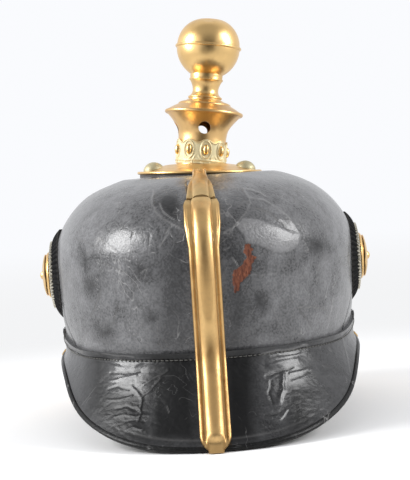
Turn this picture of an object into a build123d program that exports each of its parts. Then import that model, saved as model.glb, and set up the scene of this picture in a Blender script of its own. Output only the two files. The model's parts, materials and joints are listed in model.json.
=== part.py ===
from build123d import *
import os
from math import asin, cos, pi, radians, sin, sqrt, tan

# A lacquered leather parade helmet with a ball finial, built piece by piece.
# Millimetres. Z is the skull's upright axis, +Y the front and +X the wearer's right.
# Every piece is modelled about that axis and moved once, at the end, so that the
# helmet stands on the floor with the middle of its box over the origin.

# Skull: an oval leather dome
SKULL_WIDTH = 180.0
SKULL_LENGTH = 224.0
LEATHER = 2.6
BRIM_WIDTH = 169.0
BRIM_HEIGHT = 40.0
WIDEST_HEIGHT = 103.0
CROWN_HEIGHT = 145.6
CROWN_FLAT_RADIUS = 36.0
CROWN_VENT_RADIUS = 11.0
SIDE_SHARES = ((0.3, 0.17), (0.76, 0.5), (0.95, 0.76), (1.0, 1.0))
SHOULDER_SHARES = ((0.975, 0.26), (0.915, 0.48), (0.82, 0.7), (0.71, 0.85), (0.555, 0.97))

# Peaks: a flange sewn to the skull and a flared skirt below it
PEAK_LEATHER = 2.2
FOLD_WIDTH = 170.6
FOLD_HEIGHT = 44.0
FLANGE_TOP_WIDTH = 176.2
FLANGE_TOP_HEIGHT = 66.0
PEAK_SEAM_Y = 4.0
EDGE_LIFT = 0.8
REAR_REACH = 141.0
REAR_FLANGE_HEIGHT = 49.0
REAR_FLANGE_SIDE_HEIGHT = 57.0
REAR_EDGE_SHARES = ((0.14, 0.96), (0.34, 0.82), (0.6, 0.45), (0.8, 0.19), (1.0, 0.0))
FRONT_REACH = 155.0
FRONT_FLANGE_HEIGHT = 52.0
FRONT_EDGE_SHARES = ((0.2, 0.97), (0.42, 0.8), (0.66, 0.42), (0.85, 0.12), (1.0, 0.0))
FLANGE_BEND_SHARE = 0.45
EDGE_RUNOUT_SHARES = (1.08, -0.03)
BINDING_THICKNESS = 1.2
BINDING_WIDTH = 3.0
TRIM_THICKNESS = 1.0
TRIM_WIDTH = 4.5
LINING_THICKNESS = 0.8

# Rear spine: a pressed brass strip with a raised middle
SPINE_WIDTH = 16.8
SPINE_TOP_WIDTH = 20.0
SPINE_SHEET = 1.0
SPINE_RIDGE_WIDTH = 10.6
SPINE_RIDGE_HEIGHT = 3.4
SPINE_LAP_HEIGHT = 133.6
SPINE_WAIST_HEIGHT = 106.0
SPINE_TOP_PIECE_WIDTH = 14.0
SPINE_TOP_RIDGE_WIDTH = 9.0
SPINE_TOP_RIDGE_HEIGHT = 2.0
SPINE_TAB_WIDTH = 8.3
SPINE_TAB_SHEET = 0.7
SPINE_TAB_LENGTH = 9.0
SPINE_INNER_CUT = 3.0
SPINE_FOLD_STANDOFF = 1.6
SPINE_POST_RADIUS = 1.4
SPINE_POST_HEIGHTS = (86.0, 106.0)
POST_LENGTH = 12.0
NUT_DEPTH = 7.0
NUT_RADIUS = 3.8

# Base disc of the finial, a little tilted on the crown
DISC_RADIUS = 38.0
DISC_HEIGHT = 146.2
DISC_OFFSET = 0.2
DISC_TILT = 2.5
DISC_SHEET = 1.2
DISC_RIM = 1.8
DISC_RISE = 6.3
DISC_HOLE_RADIUS = 10.0
DISC_DOME_FOOT_RADIUS = 34.6
DISC_BULGE_SHARE = 0.62
WASHER_RADIUS = 36.4
WASHER_HOLE_RADIUS = 13.0
WASHER_DEPTH = 3.2
WASHER_THICKNESS = 0.6
BASE_STUD_CIRCLE_RADIUS = 29.6
BASE_STUD_ANGLE = 21.0
BASE_STUD_SEAT = 3.0
BASE_STUD_HEAD_RADIUS = 6.2
BASE_STUD_HEAD_HEIGHT = 4.4
BASE_STUD_SHANK_RADIUS = 1.6
BASE_STUD_SHANK_LENGTH = 8.0
BASE_NUT_RADIUS = 4.2
BASE_NUT_THICKNESS = 2.0

# Neck, bead ring and cap, leaning to the right and a little forward
NECK_OFFSET = 0.8
LEAN_RIGHT = 7.4
LEAN_FRONT = 3.0
NECK_RADIUS = 14.6
NECK_WALL = 1.2
NECK_SINK = 5.0
NECK_FLARE_START = 14.6
NECK_FLARE_RADIUS = 22.3
NECK_HEIGHT = 29.3
NECK_WAIST_RADIUS = 15.9
NECK_WAIST_HEIGHT = 20.7
NECK_VENT_RADIUS = 3.6
NECK_VENT_ANGLE = 3.3
BEAD_RING_THICKNESS = 0.7
BEAD_RING_HEIGHT = 14.2
BEAD_COUNT = 9
BEAD_ANGLE = 10.5
BEAD_HALF_WIDTH = 2.2
BEAD_HALF_HEIGHT = 3.7
BEAD_HEIGHT = 7.4
CAP_RADIUS = 23.9
CAP_LIP = 2.4
CAP_SHEET = 1.2
CAP_RISE = 9.2
CAP_TOP_RADIUS = 10.9
CAP_SHOULDER_RADIUS = 15.9
CAP_SHOULDER_SHARE = 0.76
CAP_BOSS_RADIUS = 8.0
CAP_BOSS_DEPTH = 5.6

# Ball, its turned stem and the stud that screws into the cap
STUD_RADIUS = 4.0
STUD_CLEARANCE = 0.06
STUD_LENGTH_BELOW = 7.6
BALL_WASHER_RADIUS = 9.8
BALL_WASHER_THICKNESS = 0.8
STEM_FOOT_RADIUS = 10.4
STEM_FOOT_THICKNESS = 1.4
STEM_WAIST_RADIUS = 7.8
STEM_WAIST_HEIGHT = 4.8
STEM_COLLAR_RADIUS = 10.1
STEM_COLLAR_HEIGHT = 11.0
BALL_RADIUS = 19.3
BALL_WALL = 1.0
BALL_HEIGHT = 70.9
SEAM_BEAD_RADIUS = 0.9
STUD_HEAD_WIDTH = 12.0
STUD_HEAD_THICKNESS = 2.2

# Side fittings: cockade, metal ring, rosette and screw
SIDE_HEIGHT = 90.0
COCKADE_RADIUS = 27.5
COCKADE_FACE_X = 93.9
COCKADE_BULGE_POWER = 4.5
COCKADE_SHOULDER_SHARES = (0.5, 0.74, 0.9)
COCKADE_EDGE_X = 87.4
COCKADE_THICKNESS = 1.7
COCKADE_BOSS_RADIUS = 6.5
COCKADE_RING_RADIUS = 20.5
COCKADE_RING_WIDTH = 6.7
COCKADE_RING_X = 94.3
COCKADE_RING_BEVEL = 1.0
ROSETTE_RADIUS = 12.6
ROSETTE_RISE = 2.3
ROSETTE_EDGE = 0.45
ROSETTE_SHOULDER_SHARES = (0.6, 0.86)
SIDE_SCREW_RADIUS = 2.0
SIDE_KNOB_RADIUS = 2.8
SIDE_KNOB_RISE = 1.9
SIDE_NUT_RADIUS = 4.6
SIDE_NUT_THICKNESS = 2.4

# Chin scales, folded over the front peak
CHIN_REACH = 128.0
CHIN_DROOP = 19.0
CHIN_GAP = 0.9
CHIN_BACKING = 0.8
CHIN_BACKING_WIDTH = 15.0
CHIN_END_LENGTH = 9.0
CHIN_SCALE = 0.7
CHIN_SCALE_COUNT = 13
CHIN_SCALE_WIDTH = 21.0
CHIN_SCALE_END_WIDTH = 17.0
CHIN_SCALE_BULGE_SHARE = 0.32
CHIN_SCALE_GAP = 0.3
CHIN_HINGE_CLEARANCE = 0.06
CHIN_END_RADIUS = 12.0
CHIN_FRONT_GAP = 15.0
BUCKLE_WIDTH = 26.0
BUCKLE_HEIGHT = 22.0
BUCKLE_BAR = 2.6
BUCKLE_THICKNESS = 1.6
BUCKLE_TONGUE_WIDTH = 2.0
BUCKLE_TONGUE_THICKNESS = 1.0

# Front plate: a plain rayed star on the front of the skull
PLATE_HEIGHT = 96.0
PLATE_RADIUS = 37.0
PLATE_THICKNESS = 1.4
PLATE_RAYS = 16
PLATE_NOTCH_SHARE = 0.8
PLATE_BOSS_RADIUS = 15.0
PLATE_BOSS_RISE = 2.0
PLATE_POST_HEIGHTS = (86.0, 110.0)
PLATE_POST_RADIUS = 1.6

# Lining inside the skull
SWEATBAND_GAP = 0.3
SWEATBAND_THICKNESS = 1.5
SWEATBAND_TOP = 80.0
TONGUE_COUNT = 12
TONGUE_THICKNESS = 1.2
TONGUE_OVERLAP = 8.0
TONGUE_TOP = 128.0
TONGUE_SLOT = 11.0
LACE_THICKNESS = 1.6
LACE_WIDTH = 2.5
LACE_HEIGHT = 122.0

# Allowances
OVERRUN = 1.0
HOLE_CLEARANCE = 0.1
FREE_GAP = 0.3

STRETCH = SKULL_LENGTH / SKULL_WIDTH
SPAN = SKULL_LENGTH
PEAK_FOLD_RADIUS = FOLD_WIDTH / 2 + PEAK_LEATHER
REAR_FLARE = (REAR_REACH / STRETCH - PEAK_FOLD_RADIUS) / (FOLD_HEIGHT - EDGE_LIFT)
FRONT_FLARE = (FRONT_REACH / STRETCH - PEAK_FOLD_RADIUS) / (FOLD_HEIGHT - EDGE_LIFT)
CHIN_X = COCKADE_RING_X + CHIN_GAP
ROSETTE_X = CHIN_X + CHIN_BACKING + CHIN_SCALE + FREE_GAP


def section(base):
    """The upright plane through a base plane's axis, with its own x across and y along it."""
    return Plane(origin=base.origin, x_dir=base.x_dir, z_dir=-base.y_dir)


def axis_of(base):
    """The axis through a base plane's origin along its normal."""
    return Axis(base.origin, base.z_dir)


def cap_middle(radius, rise):
    """Point halfway along the arc of a ball-shaped cap, as distance from its axis and rise."""
    ball_radius = (radius * radius + rise * rise) / (2 * rise)
    half_angle = asin(radius / ball_radius) / 2
    return ball_radius * sin(half_angle), rise - ball_radius * (1 - cos(half_angle))


def oval_stack(rows, ruled):
    """Solid through level ovals, each row giving half its width and its height."""
    with BuildPart() as stack:
        for half_width, height in rows:
            with BuildSketch(Plane.XY.offset(height)):
                Ellipse(half_width, half_width * STRETCH)
        loft(ruled=ruled)
    return stack.part


def dome(inset, low):
    """Filled oval dome: the skull's outline drawn in by inset, cut off level at low."""
    widest = SKULL_WIDTH / 2 - inset
    brim = BRIM_WIDTH / 2 - inset
    crown = CROWN_HEIGHT - inset
    bottom = BRIM_HEIGHT - OVERRUN
    side_rise = WIDEST_HEIGHT - bottom
    rows = [(brim, bottom)]
    rows += [(brim + x * (widest - brim), bottom + z * side_rise) for x, z in SIDE_SHARES]
    rows += [(x * widest, WIDEST_HEIGHT + z * (crown - WIDEST_HEIGHT)) for x, z in SHOULDER_SHARES]
    rows += [(CROWN_FLAT_RADIUS, crown)]
    with BuildPart() as solid:
        add(oval_stack(rows, ruled=False))
        if low > bottom:
            split(bisect_by=Plane.XY.offset(low), keep=Keep.TOP)
    return solid.part


def skirt_radius(flare, height, depth):
    """Radius of a peak's skirt at a height, depth below its outer face."""
    return PEAK_FOLD_RADIUS + flare * (FOLD_HEIGHT - height) - depth * sqrt(1 + flare * flare)


def skirt(flare, over, under, top):
    """The flared skirt alone, from over its outer face to under it."""
    bottom = -BINDING_THICKNESS - OVERRUN
    with BuildPart() as ring:
        outer = [(skirt_radius(flare, z, -over), z) for z in (bottom, top)]
        add(oval_stack(outer, ruled=True))
        inner = [(skirt_radius(flare, z, under), z) for z in (bottom, top)]
        add(oval_stack(inner, ruled=True), mode=Mode.SUBTRACT)
    return ring.part


def edge_points(reach, shares, shift):
    """A peak's lower edge in side view, from the seam to beyond its reach, moved up by shift."""
    drop = BRIM_HEIGHT - EDGE_LIFT
    points = [(PEAK_SEAM_Y, BRIM_HEIGHT + shift)]
    for y_share, z_share in (*shares, EDGE_RUNOUT_SHARES):
        points.append((y_share * reach, EDGE_LIFT + z_share * drop + shift))
    return points


def side_block(reach, shares, shift, end_height, seam_height):
    """Block along X whose side view lies above a peak's edge and below its flange's top."""
    edge = edge_points(reach, shares, shift)
    far_y = edge[-1][0]
    bend = (FLANGE_BEND_SHARE * reach, end_height)
    with BuildPart() as block:
        with BuildSketch(Plane.YZ):
            with BuildLine():
                Spline(*edge)
                Polyline(edge[-1], (far_y, end_height), bend)
                seam_slope = (-reach, seam_height - end_height)
                Spline(bend, (PEAK_SEAM_Y, seam_height), tangents=((-reach, 0), seam_slope))
                Line((PEAK_SEAM_Y, seam_height), edge[0])
            make_face()
        extrude(amount=SPAN, both=True)
    return block.part


def edge_block(reach, shares, below, above):
    """Block along X that follows a peak's edge in side view, from below it to above it."""
    low = edge_points(reach, shares, -below)
    high = edge_points(reach, shares, above)
    with BuildPart() as block:
        with BuildSketch(Plane.YZ):
            with BuildLine():
                Spline(*low)
                Line(low[-1], high[-1])
                Spline(*high)
                Line(high[0], low[0])
            make_face()
        extrude(amount=SPAN, both=True)
    return block.part


def peak_form(flare):
    """A peak's outer face as a filled solid, from below the floor to the flange's top."""
    bottom = -BINDING_THICKNESS - OVERRUN
    outer = [
        (skirt_radius(flare, bottom, 0), bottom),
        (PEAK_FOLD_RADIUS, FOLD_HEIGHT),
        (FLANGE_TOP_WIDTH / 2 + PEAK_LEATHER, FLANGE_TOP_HEIGHT),
    ]
    return oval_stack(outer, ruled=True)


def peak_leather(flare, block):
    """Flange and skirt in one piece of leather, trimmed to its side view and to the floor."""
    bottom = -BINDING_THICKNESS - OVERRUN
    inner = [(skirt_radius(flare, z, PEAK_LEATHER), z) for z in (bottom, BRIM_HEIGHT)]
    with BuildPart() as leather:
        add(peak_form(flare))
        add(oval_stack(inner, ruled=True), mode=Mode.SUBTRACT)
        add(skull_form.part, mode=Mode.SUBTRACT)
        add(block, mode=Mode.INTERSECT)
        split(bisect_by=Plane.XY, keep=Keep.TOP)
    return leather.part


def mirrored(part):
    """The same piece on the other side of the helmet."""
    return mirror(part, about=Plane.YZ)


# The skull's outer form, filled, with its crown cut level with the tilted base disc's washer
FITTING = Plane(
    origin=(DISC_OFFSET, 0, DISC_HEIGHT),
    x_dir=(cos(radians(DISC_TILT)), 0, -sin(radians(DISC_TILT))),
    z_dir=(sin(radians(DISC_TILT)), 0, cos(radians(DISC_TILT))),
)
with BuildPart() as skull_form:
    add(dome(0, BRIM_HEIGHT))
    split(bisect_by=FITTING.offset(-WASHER_THICKNESS), keep=Keep.BOTTOM)

stud_places = [
    (
        BASE_STUD_CIRCLE_RADIUS * x_sign * cos(radians(BASE_STUD_ANGLE)),
        BASE_STUD_CIRCLE_RADIUS * y_sign * sin(radians(BASE_STUD_ANGLE)),
    )
    for x_sign in (-1, 1)
    for y_sign in (-1, 1)
]
REAR_VIEW = Plane(origin=(0, 0, 0), x_dir=(1, 0, 0), z_dir=(0, -1, 0))
FRONT_VIEW = Plane(origin=(0, 0, 0), x_dir=(-1, 0, 0), z_dir=(0, 1, 0))
spine_posts = [(0, height) for height in SPINE_POST_HEIGHTS]
plate_posts = [(0, height) for height in PLATE_POST_HEIGHTS]

with BuildPart() as skull:
    add(skull_form.part)
    add(dome(LEATHER, BRIM_HEIGHT - OVERRUN), mode=Mode.SUBTRACT)
    with BuildSketch(FITTING):
        Circle(CROWN_VENT_RADIUS)
        with Locations(*stud_places):
            Circle(BASE_STUD_SHANK_RADIUS + HOLE_CLEARANCE)
    extrude(amount=BASE_STUD_SHANK_LENGTH, both=True, mode=Mode.SUBTRACT)
    with BuildSketch(Plane.YZ):
        with Locations((0, SIDE_HEIGHT)):
            Circle(SIDE_SCREW_RADIUS + HOLE_CLEARANCE)
    extrude(amount=SPAN, both=True, mode=Mode.SUBTRACT)
    with BuildSketch(REAR_VIEW):
        with Locations(*spine_posts):
            Circle(SPINE_POST_RADIUS + HOLE_CLEARANCE)
    extrude(amount=SPAN, mode=Mode.SUBTRACT)
    with BuildSketch(FRONT_VIEW):
        with Locations(*plate_posts):
            Circle(PLATE_POST_RADIUS + HOLE_CLEARANCE)
    extrude(amount=SPAN, mode=Mode.SUBTRACT)

# Rear peak with its rolled binding and its lining
with BuildPart() as rear_peak:
    add(peak_leather(REAR_FLARE, side_block(
        -REAR_REACH, REAR_EDGE_SHARES, 0, REAR_FLANGE_HEIGHT, REAR_FLANGE_SIDE_HEIGHT)))

with BuildPart() as rear_peak_binding:
    add(skirt(REAR_FLARE, BINDING_THICKNESS, PEAK_LEATHER + BINDING_THICKNESS, BRIM_HEIGHT))
    add(edge_block(-REAR_REACH, REAR_EDGE_SHARES, BINDING_THICKNESS, BINDING_WIDTH), mode=Mode.INTERSECT)
    add(rear_peak.part, mode=Mode.SUBTRACT)
    split(bisect_by=Plane.XY, keep=Keep.TOP)
    with BuildSketch(Plane.XY):
        with Locations((0, -REAR_REACH)):
            Rectangle(SPINE_TAB_WIDTH + 2 * HOLE_CLEARANCE, REAR_REACH)
    extrude(amount=SPINE_TAB_SHEET, mode=Mode.SUBTRACT)

with BuildPart() as rear_peak_lining:
    add(skirt(REAR_FLARE, -PEAK_LEATHER, PEAK_LEATHER + LINING_THICKNESS, BRIM_HEIGHT))
    add(side_block(-REAR_REACH, REAR_EDGE_SHARES, BINDING_WIDTH, REAR_FLANGE_HEIGHT, REAR_FLANGE_SIDE_HEIGHT),
        mode=Mode.INTERSECT)

# Front peak with its brass trim and its lining
with BuildPart() as front_peak:
    add(peak_leather(FRONT_FLARE, side_block(
        FRONT_REACH, FRONT_EDGE_SHARES, 0, FRONT_FLANGE_HEIGHT, REAR_FLANGE_SIDE_HEIGHT)))

with BuildPart() as front_peak_trim:
    add(skirt(FRONT_FLARE, TRIM_THICKNESS, PEAK_LEATHER + TRIM_THICKNESS, BRIM_HEIGHT))
    add(edge_block(FRONT_REACH, FRONT_EDGE_SHARES, TRIM_THICKNESS, TRIM_WIDTH), mode=Mode.INTERSECT)
    add(front_peak.part, mode=Mode.SUBTRACT)
    split(bisect_by=Plane.XY, keep=Keep.TOP)

with BuildPart() as front_peak_lining:
    add(skirt(FRONT_FLARE, -PEAK_LEATHER, PEAK_LEATHER + LINING_THICKNESS, BRIM_HEIGHT))
    add(side_block(FRONT_REACH, FRONT_EDGE_SHARES, TRIM_WIDTH, FRONT_FLANGE_HEIGHT, REAR_FLANGE_SIDE_HEIGHT),
        mode=Mode.INTERSECT)

# Spine: swept down the back along the skull and the peak, then cut to its outline
def rear_profile():
    """Side view points of the skull's and the rear peak's outer face, from the crown down."""
    crown = (-(DISC_RADIUS + OVERRUN), CROWN_HEIGHT)
    rise = CROWN_HEIGHT - WIDEST_HEIGHT
    half = SKULL_LENGTH / 2
    shoulder = [(-x * half, WIDEST_HEIGHT + z * rise) for x, z in reversed(SHOULDER_SHARES)]
    fold = (-PEAK_FOLD_RADIUS * STRETCH - SPINE_FOLD_STANDOFF, FOLD_HEIGHT)
    mid_flange = (-FLANGE_TOP_WIDTH / 2 * STRETCH, FLANGE_TOP_HEIGHT)
    skirt_points = [
        (-skirt_radius(REAR_FLARE, z, 0) * STRETCH, z) for z in (FOLD_HEIGHT / 2, -OVERRUN)
    ]
    return [crown, *shoulder, (-half, WIDEST_HEIGHT), mid_flange, fold, *skirt_points]


with BuildPart() as rear_peak_form:
    add(peak_form(REAR_FLARE))
    split(bisect_by=Plane.XY.offset(REAR_FLANGE_HEIGHT), keep=Keep.BOTTOM)

with BuildLine(Plane.YZ) as spine_line:
    Spline(*rear_profile())
spine_start = Plane(origin=spine_line.line @ 0, x_dir=(1, 0, 0), z_dir=spine_line.line % 0)


def spine_strip(width, ridge_width, ridge_height):
    """Strip down the back with a raised round middle, cut to the skull and the peak."""
    with BuildPart() as strip:
        with BuildSketch(spine_start):
            with Locations((0, (SPINE_SHEET - SPINE_INNER_CUT) / 2)):
                Rectangle(width, SPINE_SHEET + SPINE_INNER_CUT)
            with BuildLine():
                ThreePointArc((-ridge_width / 2, 0), (0, ridge_height), (ridge_width / 2, 0))
                Line((ridge_width / 2, 0), (-ridge_width / 2, 0))
            make_face()
        sweep(path=spine_line.line)
        add(skull_form.part, mode=Mode.SUBTRACT)
        add(rear_peak_form.part, mode=Mode.SUBTRACT)
        add(rear_peak_binding.part, mode=Mode.SUBTRACT)
        split(bisect_by=Plane.XY, keep=Keep.TOP)
    return strip.part


with BuildPart() as spine:
    add(spine_strip(SPINE_TOP_WIDTH, SPINE_RIDGE_WIDTH, SPINE_RIDGE_HEIGHT))
    with BuildSketch(REAR_VIEW):
        with BuildLine():
            Polyline(
                (-SPINE_TAB_WIDTH / 2, -OVERRUN),
                (-SPINE_TAB_WIDTH / 2, SPINE_TAB_SHEET + EDGE_LIFT),
                (-SPINE_WIDTH / 2, SPINE_TAB_LENGTH),
                (-SPINE_WIDTH / 2, SPINE_WAIST_HEIGHT),
                (-SPINE_TOP_WIDTH / 2, (SPINE_WAIST_HEIGHT + SPINE_LAP_HEIGHT) / 2),
                (-SPINE_TOP_WIDTH / 2, SPINE_LAP_HEIGHT - SPINE_RIDGE_HEIGHT),
            )
            Polyline(
                (SPINE_TOP_WIDTH / 2, SPINE_LAP_HEIGHT - SPINE_RIDGE_HEIGHT),
                (SPINE_TOP_WIDTH / 2, (SPINE_WAIST_HEIGHT + SPINE_LAP_HEIGHT) / 2),
                (SPINE_WIDTH / 2, SPINE_WAIST_HEIGHT),
                (SPINE_WIDTH / 2, SPINE_TAB_LENGTH),
                (SPINE_TAB_WIDTH / 2, SPINE_TAB_SHEET + EDGE_LIFT),
                (SPINE_TAB_WIDTH / 2, -OVERRUN),
                (-SPINE_TAB_WIDTH / 2, -OVERRUN),
            )
            ThreePointArc(
                (-SPINE_TOP_WIDTH / 2, SPINE_LAP_HEIGHT - SPINE_RIDGE_HEIGHT),
                (0, SPINE_LAP_HEIGHT),
                (SPINE_TOP_WIDTH / 2, SPINE_LAP_HEIGHT - SPINE_RIDGE_HEIGHT),
            )
        make_face()
    extrude(amount=SPAN, mode=Mode.INTERSECT)

# The tab that hooks under the peak's edge, joined to the spine's foot
with BuildPart() as spine_tab:
    add(skirt(
        REAR_FLARE,
        BINDING_THICKNESS + SPINE_TAB_SHEET,
        PEAK_LEATHER + BINDING_THICKNESS + SPINE_TAB_SHEET,
        BRIM_HEIGHT,
    ))
    with BuildSketch(Plane.XY):
        with Locations((0, -REAR_REACH)):
            Rectangle(SPINE_TAB_WIDTH, REAR_REACH)
    extrude(amount=SPINE_TAB_LENGTH, mode=Mode.INTERSECT)
    add(rear_peak.part, mode=Mode.SUBTRACT)
    add(rear_peak_binding.part, mode=Mode.SUBTRACT)
    add(rear_peak_lining.part, mode=Mode.SUBTRACT)

with BuildPart() as spine_with_tab:
    add(spine.part)
    add(spine_tab.part)

with BuildPart() as spine_top_piece:
    add(spine_strip(SPINE_TOP_PIECE_WIDTH, SPINE_TOP_RIDGE_WIDTH, SPINE_TOP_RIDGE_HEIGHT))
    split(bisect_by=Plane.XY.offset(SPINE_LAP_HEIGHT - 2 * SPINE_RIDGE_HEIGHT), keep=Keep.TOP)
    add(spine.part, mode=Mode.SUBTRACT)

with BuildPart() as spine_fixing_posts:
    with BuildSketch(REAR_VIEW.offset(SKULL_LENGTH / 2 - POST_LENGTH)):
        with Locations(*spine_posts):
            Circle(SPINE_POST_RADIUS)
    extrude(amount=POST_LENGTH)
    add(spine.part, mode=Mode.SUBTRACT)

with BuildPart() as spine_fixing_nuts:
    with BuildSketch(REAR_VIEW.offset(SKULL_LENGTH / 2 - NUT_DEPTH)):
        with Locations(*spine_posts):
            RegularPolygon(NUT_RADIUS, 6)
    extrude(amount=NUT_DEPTH / 2)
    add(skull.part, mode=Mode.SUBTRACT)
    add(spine_fixing_posts.part, mode=Mode.SUBTRACT)

# Base disc: a domed sheet with a thick rim, on a leather washer
with BuildPart() as disc_form:
    with BuildSketch(section(FITTING)):
        rim_x = DISC_RADIUS - DISC_RIM / 2
        bulge = (DISC_BULGE_SHARE * DISC_RADIUS, DISC_BULGE_SHARE * DISC_RISE + DISC_RIM / 2)
        with BuildLine():
            Polyline((0, DISC_RISE), (0, -NECK_SINK), (rim_x, -NECK_SINK), (rim_x, 0))
            ThreePointArc((rim_x, 0), (DISC_RADIUS, DISC_RIM / 2), (rim_x, DISC_RIM))
            Line((rim_x, DISC_RIM), (DISC_DOME_FOOT_RADIUS, DISC_RIM))
            ThreePointArc((DISC_DOME_FOOT_RADIUS, DISC_RIM), bulge, (DISC_HOLE_RADIUS, DISC_RISE))
            Line((DISC_HOLE_RADIUS, DISC_RISE), (0, DISC_RISE))
        make_face()
    revolve(axis=axis_of(FITTING))

with BuildPart() as disc_hollow:
    with BuildSketch(section(FITTING)):
        with BuildLine():
            Polyline((0, DISC_RISE - DISC_SHEET), (0, -NECK_SINK - OVERRUN))
            Line((0, -NECK_SINK - OVERRUN), (DISC_DOME_FOOT_RADIUS, -NECK_SINK - OVERRUN))
            Line((DISC_DOME_FOOT_RADIUS, -NECK_SINK - OVERRUN), (DISC_DOME_FOOT_RADIUS, 0))
            ThreePointArc(
                (DISC_DOME_FOOT_RADIUS, 0),
                (bulge[0], bulge[1] - DISC_SHEET),
                (DISC_HOLE_RADIUS, DISC_RISE - DISC_SHEET),
            )
            Line((DISC_HOLE_RADIUS, DISC_RISE - DISC_SHEET), (0, DISC_RISE - DISC_SHEET))
        make_face()
    revolve(axis=axis_of(FITTING))

with BuildPart() as base_disc:
    add(disc_form.part)
    add(disc_hollow.part, mode=Mode.SUBTRACT)
    split(bisect_by=FITTING, keep=Keep.TOP)
    with BuildSketch(FITTING):
        Circle(DISC_HOLE_RADIUS)
        with Locations(*stud_places):
            Circle(BASE_STUD_SHANK_RADIUS + HOLE_CLEARANCE)
    extrude(amount=2 * DISC_RISE, mode=Mode.SUBTRACT)

with BuildPart() as base_washer:
    with BuildSketch(FITTING.offset(-WASHER_DEPTH)):
        Circle(WASHER_RADIUS)
        Circle(WASHER_HOLE_RADIUS, mode=Mode.SUBTRACT)
        with Locations(*stud_places):
            Circle(BASE_STUD_SHANK_RADIUS + HOLE_CLEARANCE, mode=Mode.SUBTRACT)
    extrude(amount=WASHER_DEPTH)
    add(skull_form.part, mode=Mode.SUBTRACT)

# Domed studs that hold the disc, with their nuts under the crown
with BuildPart() as base_stud_blank:
    with BuildSketch(Plane.XZ):
        seat = BASE_STUD_SEAT - DISC_SHEET
        top = BASE_STUD_SEAT + BASE_STUD_HEAD_HEIGHT
        head_x, head_rise = cap_middle(BASE_STUD_HEAD_RADIUS, BASE_STUD_HEAD_HEIGHT)
        with BuildLine():
            Polyline(
                (0, top), (0, -BASE_STUD_SHANK_LENGTH),
                (BASE_STUD_SHANK_RADIUS, -BASE_STUD_SHANK_LENGTH),
                (BASE_STUD_SHANK_RADIUS, seat), (BASE_STUD_HEAD_RADIUS, seat),
                (BASE_STUD_HEAD_RADIUS, BASE_STUD_SEAT),
            )
            ThreePointArc(
                (BASE_STUD_HEAD_RADIUS, BASE_STUD_SEAT), (head_x, BASE_STUD_SEAT + head_rise), (0, top)
            )
        make_face()
    revolve(axis=Axis.Z)

with BuildPart() as base_stud_heads:
    with Locations(FITTING):
        with Locations(*stud_places):
            add(base_stud_blank.part)
    add(disc_form.part, mode=Mode.SUBTRACT)

with BuildPart() as base_studs:
    add(base_stud_heads.part)
    with BuildSketch(FITTING.offset(BASE_STUD_SEAT)):
        with Locations(*stud_places):
            Circle(BASE_STUD_SHANK_RADIUS)
    extrude(amount=-BASE_STUD_SEAT - BASE_STUD_SHANK_LENGTH)

with BuildPart() as base_stud_nuts:
    with BuildSketch(Plane.XY.offset(CROWN_HEIGHT - LEATHER)):
        with Locations(*stud_places):
            RegularPolygon(BASE_NUT_RADIUS, 6)
    extrude(amount=-BASE_NUT_THICKNESS)
    add(base_studs.part, mode=Mode.SUBTRACT)

# Neck, bead ring and cap, turned about one leaning axis
NECK = Plane(
    origin=FITTING.origin + FITTING.x_dir * NECK_OFFSET + FITTING.z_dir * DISC_RISE,
    x_dir=(1, 0, -tan(radians(LEAN_RIGHT))),
    z_dir=(tan(radians(LEAN_RIGHT)), tan(radians(LEAN_FRONT)), 1),
)
neck_outline = [
    (NECK_RADIUS, NECK_FLARE_START),
    (NECK_WAIST_RADIUS, NECK_WAIST_HEIGHT),
    (NECK_FLARE_RADIUS, NECK_HEIGHT),
]

with BuildPart() as neck:
    with BuildSketch(section(NECK)):
        inner_outline = [(x - NECK_WALL, z) for x, z in neck_outline]
        with BuildLine():
            Line((NECK_RADIUS, -NECK_SINK), neck_outline[0])
            Spline(*neck_outline, tangents=((0, 1), (1, 1)))
            Line(neck_outline[-1], inner_outline[-1])
            Spline(*inner_outline, tangents=((0, 1), (1, 1)))
            Line(inner_outline[0], (NECK_RADIUS - NECK_WALL, -NECK_SINK))
            Line((NECK_RADIUS - NECK_WALL, -NECK_SINK), (NECK_RADIUS, -NECK_SINK))
        make_face()
    revolve(axis=axis_of(NECK))
    add(disc_form.part, mode=Mode.SUBTRACT)
    with Locations(NECK.offset(NECK_WAIST_HEIGHT)):
        with PolarLocations(0, 2, start_angle=NECK_VENT_ANGLE, angular_range=180):
            Cylinder(NECK_VENT_RADIUS, SKULL_WIDTH, rotation=(90, 0, 0), mode=Mode.SUBTRACT)

with BuildPart() as bead:
    with BuildSketch(Plane.XZ):
        Ellipse(BEAD_HALF_WIDTH, BEAD_HALF_HEIGHT)
        split(bisect_by=Plane.YZ, keep=Keep.TOP)
    revolve(axis=Axis.Z)

with BuildPart() as pearl_ring:
    with BuildSketch(section(NECK)):
        with Locations((NECK_RADIUS + BEAD_RING_THICKNESS / 2, (BEAD_RING_HEIGHT - NECK_SINK) / 2)):
            Rectangle(BEAD_RING_THICKNESS, BEAD_RING_HEIGHT + NECK_SINK)
    revolve(axis=axis_of(NECK))
    with Locations(NECK.offset(BEAD_HEIGHT)):
        with PolarLocations(NECK_RADIUS + BEAD_RING_THICKNESS, BEAD_COUNT, start_angle=BEAD_ANGLE - 90):
            add(bead.part)
    with BuildSketch(NECK.offset(-NECK_SINK)):
        Circle(NECK_RADIUS)
    extrude(amount=NECK_SINK + BEAD_RING_HEIGHT, mode=Mode.SUBTRACT)
    add(disc_form.part, mode=Mode.SUBTRACT)

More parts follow.
